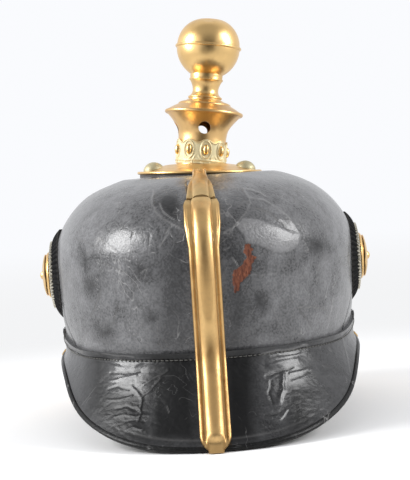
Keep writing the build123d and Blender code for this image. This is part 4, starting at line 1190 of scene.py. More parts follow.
@dataclass
class Skull:
    """The lacquered dome."""

    body: Body
    view: Viewpoint
    palette: Palette
    middle_height: float = 70 * MM
    leather: float = 2.6 * MM
    crown_reach: float = 36 * MM
    vent: float = 11 * MM
    low_angle: float = math.radians(-19.0)
    high_angle: float = math.radians(63.4)
    rear_columns: int = 344
    front_columns: int = 84
    rows: int = 176
    hidden_rows: int = 8
    hidden_edge: Pair = (88 * MM, -26 * MM)
    side_holes: float = 0.97
    disc_edge: Pair = (0.037, 0.048)
    smooth_below: float = 4 * MM
    smooth_reach: float = 0.046
    waves: tuple[Wave, ...] = ((0.034, 11, 0.45), (0.012, 12, 0.16), (0.005, 13, 0.05))

    def __post_init__(self) -> None:
        """Measures the dome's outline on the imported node."""
        tree = surface_of("skull")
        middle = Vector((0, self.body.axis_y, self.middle_height))
        self.angles = np.linspace(self.low_angle, self.high_angle, 34)
        distances = []
        for angle in self.angles:
            found = []
            for turn in np.radians(np.arange(20, 340, 10)):
                if abs(math.sin(turn)) > self.side_holes:
                    continue
                way = Vector((
                    math.sin(turn) * math.cos(angle), -self.body.stretch * math.cos(turn) * math.cos(angle),
                    math.sin(angle),
                ))
                hit = tree.ray_cast(middle + way * 0.3, -way.normalized())[0]
                if hit is not None:
                    found.append(math.hypot(self.body.reach(hit), hit.z - self.middle_height))
            distances.append(np.median(found))
        self.distances = np.array(distances)

    def outline(self, angle: np.ndarray) -> tuple[np.ndarray, np.ndarray]:
        """Half width and height of the dome at elevations seen from its middle."""
        distance = cubic(angle, self.angles, self.distances)
        return distance * np.cos(angle), self.middle_height + distance * np.sin(angle)

    def wall(self, level: np.ndarray, entries: int) -> tuple[np.ndarray, np.ndarray]:
        """Half width of the dome and its slope at heights, from a table with so many entries."""
        reach, heights = self.outline(np.linspace(self.low_angle, self.high_angle, entries))
        return np.interp(level, heights, reach), np.interp(level, heights, np.gradient(reach, heights))

    def crown_limit(self, across: np.ndarray) -> np.ndarray:
        """Height to which the crown is cut for the tilted base disc."""
        disc = BaseFittings.disc
        return disc.height * MM - disc.washer * MM - (across - disc.offset * MM) * math.tan(disc.tilt)

    def inside(self, turn: np.ndarray, floor: float) -> np.ndarray:
        """Rings of the inner face from the vent down to the floor.

        Args:
            turn: Angles of the columns.
            floor: Height of the lowest ring.

        Returns:
            The rings.
        """
        angle = np.linspace(self.low_angle, self.high_angle, 26)
        reach, height = self.outline(angle)
        reach = np.concatenate([[reach[0] - self.leather], reach - self.leather * np.cos(angle), [self.vent]])
        height = np.concatenate([[floor], height - self.leather * np.sin(angle)])
        height = np.append(height, height[-1])
        return self.body.oval(reach[::-1, None], turn[None, :], height[::-1, None], Facing.REAR)

    def build(self) -> None:
        """Makes the dome with its wear and its painted shade."""
        low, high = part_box("skull")
        rear = closer(self.rear_columns + 1, math.pi / 2)[:-1]
        front = np.linspace(math.pi / 2, 3 * math.pi / 2, self.front_columns, endpoint=False)
        turn = np.concatenate([rear, front])
        top = math.atan2(high.z - self.middle_height, self.crown_reach)
        hidden = math.atan2(self.hidden_edge[1], self.hidden_edge[0])
        angle = np.concatenate([
            np.linspace(self.low_angle, hidden, self.hidden_rows, endpoint=False),
            np.linspace(hidden, min(top, self.high_angle), self.rows),
        ])
        reach, height = self.outline(angle)
        crown = [0.8 * self.crown_reach, 0.5 * self.crown_reach, self.vent]
        reach = np.concatenate([[reach[0]], reach, crown])
        height = np.concatenate([[low.z], height, [height[-1]] * len(crown)])
        outer = self.body.oval(reach[:, None], turn[None, :], height[:, None], Facing.REAR)
        under_disc = np.hypot(outer[..., 0], outer[..., 1] - self.body.axis_y)
        limit = self.crown_limit(outer[..., 0]) + 9 * MM * soft_step(under_disc, *self.disc_edge)
        outer[..., 2] = np.minimum(outer[..., 2], limit)
        normal = -normals_of(outer, wrap=True)
        flat = outer.reshape(-1, 3)
        lift, marks = SKULL_WEAR_AND_PAINTED_LIGHT.apply(flat, self.view)
        seen = (flat[:, 1] < self.body.axis_y) & (flat[:, 2] > low.z + self.smooth_below)
        lift = np.where(seen, lift, 0) + dents(flat, self.waves) * MM - 0.25 * MM
        fade = soft_step(flat[:, 2], low.z + self.smooth_below, low.z + 20 * MM)
        wide = np.broadcast_to(reach[:, None], outer.shape[:2]).ravel()
        fade *= soft_step(wide, self.crown_reach, self.smooth_reach)
        outer = outer + normal * (lift * fade).reshape(outer.shape[:2])[..., None]
        inner = self.inside(turn, low.z)
        piece = Mesh.tube("skull_leather", np.concatenate([outer, inner]), self.palette.skull, loop=True)
        hidden_marks = np.zeros(inner.shape[0] * inner.shape[1])
        for name, values in marks.items():
            Mesh.mark(piece, name, np.concatenate([np.where(seen, values, 0), hidden_marks]))
        settle(piece, "helmet", "lacquered_leather", "skull")


@dataclass
class Peak:
    """A peak's leather, its edge and its stitches."""

    body: Body
    view: Viewpoint
    palette: Palette
    facing: Facing
    wear: Wear
    fold: float = 44 * MM
    fold_softness: float = 1.3 * MM
    leather: float = 2.2 * MM
    columns: int = 440
    skirt_rows: int = 74
    flange_rows: int = 12
    stitch_inset: float = 3.6 * MM
    seam_inset: float = 5.4 * MM
    flare: float = 1.8 * MM
    squareness: float = 0.55
    stitch_pitch: float = 2.7 * MM
    path_step: float = 0.5 * MM
    probe: float = 0.2
    behind: float = 0.02
    tolerance: float = 2.5 * MM
    halvings: int = 14
    off_leather: float = 0.07
    strip_columns: int = 260
    waves: tuple[Wave, ...] = ((0.022, 21, 0.35), (0.008, 22, 0.12))

    @property
    def node(self) -> str:
        """The peak's node."""
        return f"{self.facing.name.lower()}_peak"

    def __post_init__(self) -> None:
        """Measures the skirt's slope, the flange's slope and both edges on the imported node."""
        self.tree = surface_of(self.node)
        low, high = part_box(self.node)
        side = math.radians(72)
        self.skirt = self.line(0.0, low.z + 4 * MM, self.fold - 3 * MM)
        self.flange = self.line(side, self.fold + 1.5 * MM, self.fold + 4.5 * MM)
        seam = low.y if self.facing is Facing.FRONT else high.y
        ahead = self.facing.value * (seam - self.body.axis_y)
        reach = self.flange[0] + self.flange[1] * self.fold
        self.end = math.acos(ahead / (self.body.stretch * reach)) - 0.004
        self.turns = np.linspace(-self.end, self.end, 161)
        self.lower = np.array([self.edge(turn, 0.0) for turn in self.turns])
        self.upper = np.array([self.edge(turn, self.off_leather) for turn in self.turns])

    def hit(self, turn: float, height: float) -> float | None:
        """Half width of the outer face at one place.

        Args:
            turn: Angle from the middle of the peak, in radians.
            height: The height.

        Returns:
            The half width, or nothing off the leather.
        """
        way = Vector((math.sin(turn), self.facing.value * self.body.stretch * math.cos(turn), 0))
        start = Vector((0, self.body.axis_y, height)) + way * self.probe
        found = self.tree.ray_cast(start, -way.normalized())[0]
        if found is None or (found.y - self.body.axis_y) * self.facing.value < -self.behind:
            return None
        return self.body.reach(found)

    def line(self, turn: float, low: float, high: float) -> tuple[float, float]:
        """Half width as a straight line over height.

        Args:
            turn: Angle from the middle of the peak, in radians.
            low: Height of the first measure.
            high: Height of the second.

        Returns:
            The line's value at 0 and its slope.
        """
        first, second = self.hit(turn, low), self.hit(turn, high)
        slope = (second - first) / (high - low)
        return first - slope * low, slope

    def edge(self, turn: float, far: float) -> float:
        """Finds where the leather ends, by halving the way from the fold to a height off the leather.

        Args:
            turn: Angle from the middle of the peak, in radians.
            far: The height off the leather.

        Returns:
            The edge's height.
        """
        near = self.fold
        for _ in range(self.halvings):
            middle = (near + far) / 2
            found = self.hit(turn, middle)
            on_leather = found is not None and abs(found - self.reach(np.array(middle))) < self.tolerance
            near, far = (middle, far) if on_leather else (near, middle)
        return near

    def reach(self, height: np.ndarray) -> np.ndarray:
        """Half width of the outer face, rounded at the fold.

        Args:
            height: Heights.

        Returns:
            The half widths.
        """
        extra = (self.skirt[1] - self.flange[1]) * self.fold_softness
        bend = np.logaddexp(0, (self.fold - height) / self.fold_softness)
        return self.flange[0] + self.flange[1] * height - extra * bend

    def outer(self, turn: np.ndarray, height: np.ndarray) -> np.ndarray:
        """Points of the outer face."""
        return self.body.oval(self.reach(height), turn, height, self.facing)

    def edges(self, turn: np.ndarray) -> tuple[np.ndarray, np.ndarray]:
        """Heights of the skirt's lower edge and of the flange's top edge."""
        return np.interp(turn, self.turns, self.lower), np.interp(turn, self.turns, self.upper)

    def build(self) -> None:
        """Makes the peak's leather and its stitches."""
        turn = closer(self.columns, self.end)
        lower, upper = self.edges(turn)
        skirt = lower + (self.fold - lower) * spread(0, 1, self.skirt_rows)[:-1]
        flange = self.fold + (upper - self.fold) * spread(0, 1, self.flange_rows)
        height = np.concatenate([skirt, flange])
        outer = self.outer(turn[None, :], height)
        normal = self.body.outwards(normals_of(outer, wrap=False), outer)
        flat = outer.reshape(-1, 3)
        lift, marks = self.wear.apply(flat, self.view)
        fade = soft_step(height, lower + 3 * MM, lower + 9 * MM) * soft_step(height, upper, upper - 2 * MM)
        groove = bell(height - upper, -self.stitch_inset, 0.9 * MM) * 0.35
        seam = bell(height - lower, self.seam_inset, 0.55 * MM) * np.cos(turn) ** 8
        marks["scar"] = np.maximum(marks["scar"], 0.12 * seam.ravel())
        down = np.clip((self.fold - height) / (self.fold - lower), 0, 1)
        hollow = self.flare * 4 * down * (1 - down) * np.cos(turn) ** 2
        raised = (lift + dents(flat, self.waves) * MM - 0.15 * MM).reshape(height.shape) * fade
        raised = raised - hollow - (groove + 0.2 * seam) * MM
        outer = outer + normal * raised[..., None]
        level = height[np.linspace(0, len(height) - 1, 14).astype(int)]
        slant = np.where(level < self.fold, -self.skirt[1], 0)
        inset = self.leather * np.sqrt(1 + slant**2)
        inner = self.body.oval(self.reach(level) - inset, turn[None, :], level, self.facing)[::-1]
        rings = np.concatenate([outer, inner]).transpose(1, 0, 2)
        piece = Mesh.tube(f"{self.node}_leather", rings, self.palette.peak)
        for name, values in marks.items():
            ring_values = np.zeros(rings.shape[:2])
            ring_values[:, :len(height)] = values.reshape(height.shape).T
            Mesh.mark(piece, name, ring_values)
        settle(piece, "helmet", "lacquered_leather", self.node)
        turn = np.linspace(-self.end + 0.02, self.end - 0.02, 400)
        here, _, normal = self.line_on(turn, self.edges(turn)[1] - self.stitch_inset)
        path = np.stack([here, normal])
        name = f"{self.node}_stitches"
        stitches = Copies.along(name, path, stitch(), self.stitch_pitch, self.palette.thread)
        settle(stitches, "helmet", "peak_binding")

    def line_on(self, turn: np.ndarray, height: np.ndarray) -> tuple[np.ndarray, np.ndarray, np.ndarray]:
        """A line on the outer face.

        Args:
            turn: Angles along the line.
            height: Heights along the line.

        Returns:
            Points, directions along the line and outward directions, one row each.
        """
        here = self.outer(turn, height)
        along = np.gradient(here, axis=0)
        normal = unit(np.cross(along, self.outer(turn, height + self.path_step) - here))
        return here, along, self.body.outwards(normal, here)

    def edging(
        self, name: str, slot: str, material: bpy.types.Material, thickness: float, width: float, ridge: float
    ) -> None:
        """Rolled strip that wraps the peak's lower edge.

        Args:
            name: The strip's node.
            slot: Its material slot.
            material: Its finish.
            thickness: How far it stands off the leather.
            width: How far it reaches up the leather.
            ridge: Extra roundness of its outer face.
        """
        turn = np.linspace(-self.end + 0.01, self.end - 0.01, self.strip_columns)
        here, along, normal = self.line_on(turn, self.edges(turn)[0])
        up = unit(np.cross(normal, along))
        up *= np.sign(up[:, 2:])
        angle = turns(28)
        waves = (np.cos(angle), np.sin(angle))
        out, rise = (np.sign(wave) * np.abs(wave) ** self.squareness for wave in waves)
        bulge = ridge * np.maximum(out, 0) * np.cos(np.arcsin(np.clip(rise, -1, 1)))
        out = out * (self.leather + 2 * thickness) / 2 - self.leather / 2 + bulge
        rise = rise * (width + thickness) / 2 + (width - thickness) / 2
        rings = here[:, None] + normal[:, None] * out[None, :, None] + up[:, None] * rise[None, :, None]
        wobble = smooth_noise(rings.reshape(-1, 3), 0.012, 31).reshape(rings.shape[:2])
        rings = rings + normal[:, None] * (wobble * 0.12 * MM)[..., None]
        rings[..., 2] = np.maximum(rings[..., 2], 0.0)
        settle(Mesh.tube(f"{name}_strip", rings, material), "helmet", slot, name)


class Copies(Graph):
    """Geometry Nodes that set copies of one small shape on points."""

    def __init__(self, name: str, **inputs: str) -> None:
        """Starts a tree that takes a geometry, the shape to copy and its finish.

        Args:
            name: The tree's name.
            inputs: Further inputs, as names with their types.
        """
        super().__init__(bpy.data.node_groups.new(name, "GeometryNodeTree"))
        inputs = {"Geometry": "Geometry", "Copy": "Object", "Material": "Material", **inputs}
        for label, kind in inputs.items():
            self.tree.interface.new_socket(label, in_out="INPUT", socket_type=f"NodeSocket{kind}")
        self.tree.interface.new_socket("Geometry", in_out="OUTPUT", socket_type="NodeSocketGeometry")
        self.start = self.tree.nodes.new("NodeGroupInput")
        self.end = self.tree.nodes.new("NodeGroupOutput")

    def given(self, label: str) -> Signal:
        """One of the tree's inputs."""
        return Signal(self, self.start.outputs[label])

    def stored(self, label: str, kind: str) -> bpy.types.NodeSocket:
        """A value stored on the points."""
        return self.node("GeometryNodeInputNamedAttribute", {"data_type": kind}, {"Name": label}).outputs[0]

    def place(self, points: bpy.types.NodeSocket, **inputs: bpy.types.NodeSocket) -> None:
        """Sets the copies on the points, makes them real and gives them their finish.

        Args:
            points: The points.
            inputs: The copies' turn and size.
        """
        shape = self.node("GeometryNodeObjectInfo", {}, {"Object": self.given("Copy")}).outputs["Geometry"]
        inputs = {"Points": points, "Instance": shape, **inputs}
        copies = self.node("GeometryNodeInstanceOnPoints", {}, inputs)
        real = self.node("GeometryNodeRealizeInstances", {}, {0: copies.outputs[0]}).outputs[0]
        finish = {"Geometry": real, "Material": self.given("Material")}
        dressed = self.node("GeometryNodeSetMaterial", {}, finish)
        self.feed(self.end.inputs[0], dressed.outputs[0])

    def run(self, name: str, data: bpy.types.Mesh, **values: object) -> bpy.types.Object:
        """Runs the tree on a mesh and removes the copied shape.

        Args:
            name: The finished piece's name.
            data: The mesh.
            values: The tree's inputs by name.

        Returns:
            The finished piece.
        """
        host = linked(f"{name}_host", data)
        modifier = host.modifiers.new("copies", "NODES")
        modifier.node_group = self.tree
        for item in self.tree.interface.items_tree:
            if item.name in values:
                modifier[item.identifier] = values[item.name]
        mesh = bpy.data.meshes.new_from_object(host.evaluated_get(bpy.context.evaluated_depsgraph_get()))
        for used in (host, values["Copy"]):
            bpy.data.objects.remove(used)
        Mesh.smooth(mesh)
        return linked(name, mesh)

    @classmethod
    def along(
        cls, name: str, path: np.ndarray, shape: bpy.types.Object, spacing: float,
        material: bpy.types.Material, size: np.ndarray | None = None,
    ) -> bpy.types.Object:
        """Copies along a line, each turned to the line and to the surface below it.

        Args:
            name: The piece's name.
            path: Points, then outward directions.
            shape: The shape to copy, with X along the line and Z outwards. It is used up.
            spacing: Distance between copies.
            material: The copies' finish.
            size: Scale of the copies along the line.

        Returns:
            The piece.
        """
        graph = cls("copies along a line", Spacing="Float")
        curve = graph.node("GeometryNodeMeshToCurve", {}, {0: graph.given("Geometry")}).outputs[0]
        inputs = {0: curve, "Length": graph.given("Spacing")}
        points = graph.node("GeometryNodeCurveToPoints", {"mode": "LENGTH"}, inputs).outputs
        inputs = {0: graph.stored("outward", "FLOAT_VECTOR"), 1: points["Tangent"]}
        axes = graph.node("FunctionNodeAxesToRotation", {"primary_axis": "Z", "secondary_axis": "X"}, inputs)
        graph.place(points["Points"], Rotation=axes.outputs[0], Scale=graph.stored("size", "FLOAT"))
        count = path.shape[1]
        mesh = bpy.data.meshes.new(name)
        mesh.from_pydata(path[0].tolist(), [(i, i + 1) for i in range(count - 1)], [])
        mesh.attributes.new("outward", "FLOAT_VECTOR", "POINT").data.foreach_set("vector", path[1].ravel())
        sizes = np.ones(count) if size is None else size
        mesh.attributes.new("size", "FLOAT", "POINT").data.foreach_set("value", sizes)
        return graph.run(name, mesh, Copy=shape, Spacing=spacing, Material=material)

    @classmethod
    def around(
        cls, name: str, shape: bpy.types.Object, count: int, radius: float, phase: float, place: Matrix,
        material: bpy.types.Material,
    ) -> bpy.types.Object:
        """Copies in a ring.

        Args:
            name: The piece's name.
            shape: The shape to copy, with X outwards and Z along the axis. It is used up.
            count: Number of copies.
            radius: The ring's radius.
            phase: Angle of the first copy in radians.
            place: Matrix whose third axis is the ring's.
            material: The copies' finish.

        Returns:
            The piece.
        """
        graph = cls("copies around an axis", Count="Int", Radius="Float", Phase="Float")
        index = Signal(graph, graph.node("GeometryNodeInputIndex", {}, {}).outputs[0])
        angle = index * graph.math("DIVIDE", FULL_TURN, graph.given("Count")) + graph.given("Phase")
        across, along = (graph.math(wave, angle, 0.0) * graph.given("Radius") for wave in ("COSINE", "SINE"))
        spot = graph.node("ShaderNodeCombineXYZ", {}, {0: across, 1: along}).outputs[0]
        turn = graph.node("ShaderNodeCombineXYZ", {}, {2: angle}).outputs[0]
        points = graph.node("GeometryNodePoints", {}, {"Count": graph.given("Count"), "Position": spot})
        graph.place(points.outputs[0], Rotation=turn)
        piece = graph.run(
            name, bpy.data.meshes.new(name), Copy=shape, Count=count, Radius=radius, Phase=phase,
            Material=material,
        )
        piece.data.transform(place)
        return piece


def stitch(length: float = 2.1 * MM, radius: float = 0.3 * MM) -> bpy.types.Object:
    """One stitch: a short bowed thread along X.

    Args:
        length: The stitch's length.
        radius: The thread's radius.

    Returns:
        The stitch.
    """
    share = spread(0, 1, 7)
    angle = turns(8)
    girth = np.sin(math.pi * (0.08 + 0.84 * share)) ** 0.5 * radius
    lift = np.sin(math.pi * share) * radius * 0.7 - radius * 0.35
    along = (share * length - length / 2) + 0 * angle
    return Mesh.tube("stitch", np.stack([along, girth * np.cos(angle), lift + girth * np.sin(angle)], axis=2))


@dataclass
class Spine:
    """The brass strip down the back: one long piece and the narrower piece above it."""

    body: Body
    view: Viewpoint
    palette: Palette
    half_width: float = 8.4
    top_half_width: float = 10.0
    waist: tuple[float, float] = (106.0, 119.8)
    foot: float = 9.0
    tab_half_width: float = 4.2
    sheet: float = 1.0
    ridge_half_width: float = 5.3
    ridge_height: float = 3.4
    lap_height: float = 133.6
    top_piece_half_width: float = 7.0
    top_ridge_half_width: float = 4.5
    top_ridge_height: float = 2.2
    columns: int = 61
    rim: Welt = Welt(0.55, -1.15, 0.6)
    valley: Welt = Welt(1.0, 0.35, 0.5)
    fold: Welt = Welt(0.5, -1.0, 0.7)
    dull_rows: tuple[Pair, ...] = ((288.0, 34.0), (389.0, 44.0))
    dull_half_width: float = 3.6

    def __post_init__(self) -> None:
        """Spreads the columns across a strip and lets them fall at its edges."""
        self.share = np.linspace(-1, 1, self.columns)
        self.edge = soft_step(1 - np.abs(self.share), 0, 0.03)

    def flat(self, across: np.ndarray, line: tuple[np.ndarray, np.ndarray]) -> np.ndarray:
        """Points beside a middle line, one row each, at distances in millimetres."""
        depth, level = (np.repeat(line[0][:, axis], across.shape[1]) for axis in (0, 1))
        return np.stack([across.ravel() * MM, depth, level], axis=1)

    def line(self, node: str, aside: float, to_floor: bool) -> tuple[np.ndarray, np.ndarray]:
        """Middle line of a strip's sheet in side view, measured beside its ridge.

        Args:
            node: The strip's node.
            aside: Distance from the middle at which to measure, in millimetres.
            to_floor: Whether the line runs on straight to the floor.

        Returns:
            Points as Y and Z in metres from the floor up, and their outward directions.
        """
        tree = surface_of(node)
        middle = Vector((aside * MM, self.body.axis_y, 60 * MM))
        found = []
        for angle in np.radians(np.arange(-26, 76, 0.5)):
            way = Vector((0, -math.cos(angle), math.sin(angle)))
            hit = tree.ray_cast(middle + way * 0.3, -way)[0]
            if hit is not None and (middle - hit).length > 0.06:
                found.append((hit.y, hit.z))
        points = np.array(found)
        if to_floor:
            points = points[points[:, 1] > (self.foot + 1) * MM]
            slope = (points[6] - points[0]) / (points[6] - points[0])[1]
            points = np.concatenate([[points[0] - slope * points[0][1]], points])
        length = length_to(points)
        place = np.linspace(0, length[-1], int(length[-1] / (0.75 * MM)))
        even = np.stack([np.interp(place, length, points[:, axis]) for axis in (0, 1)], axis=1)
        kernel = np.ones(9) / 9
        padded = np.pad(even, ((4, 4), (0, 0)), mode="reflect", reflect_type="odd")
        even = np.stack([np.convolve(padded[:, axis], kernel, "valid") for axis in (0, 1)], axis=1)
        along = unit(np.gradient(even, axis=0))
        return even, np.stack([-along[:, 1], along[:, 0]], axis=1)

    def strip(
        self, name: str, node: str, line: tuple[np.ndarray, np.ndarray], half: np.ndarray, height: np.ndarray,
        marks: dict[str, np.ndarray],
    ) -> None:
        """Makes a closed strip from its half widths and its relief.

        Args:
            name: The piece's name.
            node: The node that it replaces.
            line: Middle line and outward directions.
            half: Half width at each place along the line, in millimetres.
            height: Height over the leather at each place and across, in millimetres.
            marks: Values for the finish at each place and across.
        """
        middle, outward = line
        share = np.linspace(-1, 1, height.shape[1])
        across = np.concatenate([half[:, None] * share, half[:, None] * share[::-6] * 0.985], axis=1) * MM
        below = np.full((len(half), len(share[::-6])), -0.55)
        rise = (np.concatenate([height, below], axis=1) - self.sheet) * MM
        depth, level = (middle[:, i, None] + outward[:, i, None] * rise for i in (0, 1))
        points = np.stack([across, depth, level], axis=2)
        dent = smooth_noise(points.reshape(-1, 3), 0.011, 41).reshape(across.shape) * 0.14 * MM
        points[..., 1:] += outward[:, None] * dent[..., None]
        points[..., 2] = np.maximum(points[..., 2], 0.0)
        piece = Mesh.tube(name, points, self.palette.worn_brass)
        for mark, values in marks.items():
            full = np.zeros(across.shape)
            full[:, :values.shape[1]] = values
            Mesh.mark(piece, mark, full)
        settle(piece, "helmet", "brass", node)

    def lower_piece(self) -> None:
        """Makes the long piece, with its raised middle, its rims and the tab at its foot."""
        line = self.line("spine", 7.0, True)
        level = line[0][:, 1] / MM
        half = np.interp(level, (self.foot, *self.waist, 130, 134), (
            self.half_width, self.half_width, self.top_half_width, self.top_half_width,
            self.top_half_width * 0.8,
        ))
        drop = np.clip((self.foot - level) / (self.foot - 1.0), 0, 1)
        half = np.maximum(half * np.sqrt(1 - drop**2), self.tab_half_width)
        across = half[:, None] * self.share
        aside = np.abs(across)
        rim = self.rim.over(aside - half[:, None])
        valley = self.valley.over(aside - self.ridge_half_width)
        dome = np.sqrt(np.clip(1 - (across / self.ridge_half_width) ** 2, 0, 1))
        swell = soft_step(level, 3.5, 8.0)[:, None]
        top = soft_step(level, self.lap_height - 3, self.lap_height - 9)[:, None]
        ridge = self.ridge_height * dome * swell * (0.55 + 0.45 * top)
        height = self.sheet + rim * swell * top - 0.3 * valley * swell + ridge
        height = height * self.edge - 0.3 * (1 - self.edge)
        row = self.view.pixels(self.flat(across, line))[:, 1].reshape(across.shape)
        dull = np.zeros(across.shape)
        for middle, reach in self.dull_rows:
            oval = ((row - middle) / reach) ** 2 + (across / self.dull_half_width) ** 2
            dull = np.maximum(dull, soft_step(oval, 1.25, 0.7))
        # The ridge's flanks are painted darker towards the bottom: painted shade that damps their lamp
        # reflections. The brown ovals are tarnish.
        low = 0.45 * soft_step(row, 235.0, 290.0) + 0.5 * soft_step(row, 340.0, 410.0)
        tarnish = np.maximum(dull * 0.58, soft_step(aside, 2.8, 4.4) * low)
        hollow = valley * 0.4 + soft_step(level, 128, 133)[:, None] * 0.8
        self.strip("spine_strip", "spine", line, half, height, {"tarnish": tarnish, "hollow": hollow})

    def upper_piece(self) -> None:
        """Makes the narrower piece above, crinkled, and soldered at its lap."""
        line = self.line("spine_top_piece", 5.9, False)
        place = np.linspace(0, 1, len(line[0]))
        row = self.view.pixels(self.flat(0 * place[:, None], line))[:, 1]
        half = self.top_piece_half_width * (1 + 0.16 * bell(place, 0, 0.16))
        half = half * (1 - 0.42 * soft_step(row, 186.0, 175.0))
        across = half[:, None] * self.share
        dome = np.sqrt(np.clip(1 - (across / self.top_ridge_half_width) ** 2, 0, 1))
        crinkle = smooth_noise(self.flat(across, line), 0.0035, 43).reshape(across.shape) * 0.28
        fold = self.fold.over(np.abs(across) - half[:, None])
        height = self.sheet + self.top_ridge_height * dome + fold + crinkle
        height = height * self.edge - 0.3 * (1 - self.edge)
        solder = np.broadcast_to(bell(place, 0, 0.2)[:, None], across.shape)
        self.strip("spine_top_strip", "spine_top_piece", line, half, height, {
            "tarnish": 0.25 + 0.3 * solder, "hollow": 0.85 * solder + 0.2 * (np.abs(crinkle) > 0.12),
        })

    def build(self) -> None:
        """Makes both pieces of the spine."""
        self.lower_piece()
        self.upper_piece()


@dataclass(frozen=True)
class Disc:
    """Sizes of the base disc and of its leaning seat, in millimetres."""

    height: float = 146.2
    offset: float = 0.2
    tilt: float = math.radians(2.5)
    washer: float = 0.6
    radius: float = 38.0
    foot_radius: float = 34.6
    hole_radius: float = 10.0
    rim: float = 1.8
    rise: float = 6.3
    sheet: float = 1.2
    bulge: float = 1.83
    waves: tuple[Wave, ...] = ((0.013, 51, 0.22), (0.005, 52, 0.07))


@dataclass
class BaseFittings:
    """The domed disc on the crown."""

    body: Body
    palette: Palette
    disc = Disc()

    @property
    def place(self) -> Matrix:
        """The disc's seat.

        Returns:
            A matrix whose third axis is the disc's.
        """
        tilt = self.disc.tilt
        origin = (self.disc.offset * MM, self.body.axis_y, self.disc.height * MM)
        aside, up = Vector((math.cos(tilt), 0, -math.sin(tilt))), Vector((math.sin(tilt), 0, math.cos(tilt)))
        return frame_at(origin, aside, up)

    def build(self) -> None:
        """Makes the disc."""
        disc = self.disc
        run = disc.foot_radius - disc.hole_radius
        shares = np.linspace(0, 1, 22)
        swell = disc.rise - disc.rim
        dome = [(disc.hole_radius + run * u, disc.rim + swell * (1 - u**disc.bulge)) for u in shares]
        rim_radius = disc.radius - disc.rim / 2
        rim = arc((rim_radius, disc.rim / 2), (disc.rim / 2, disc.rim / 2), 115, -90, 16)
        groove = [(disc.foot_radius + 0.5, disc.rim - 0.35), (disc.foot_radius + 1.0, disc.rim - 0.35)]
        under = [(r, z - disc.sheet) for r, z in reversed(dome)]
        profile = dome + groove + rim + [(disc.foot_radius, 0.0), *under[1:]]
        piece = Mesh.turned("base_disc_sheet", profile, self.place, self.palette.brass, 200)
        points = Mesh.points(piece)
        push = dents(points, disc.waves) * MM
        away = np.hypot(points[:, 0], points[:, 1] - self.body.axis_y)
        push *= soft_step(away, 0.0145, 0.019) * soft_step(away, 0.036, 0.034)
        moved = points + push[:, None] * np.array(self.place.col[2][:3])
        piece.data.vertices.foreach_set("co", moved.ravel())
        stains = (Welt(0.6, disc.foot_radius + 0.6, 1.2), Welt(0.75, 16.5, 2.2))
        Mesh.mark(piece, "hollow", sum(stain.over(away / MM) for stain in stains))
        settle(piece, "helmet", "brass", "base_disc")


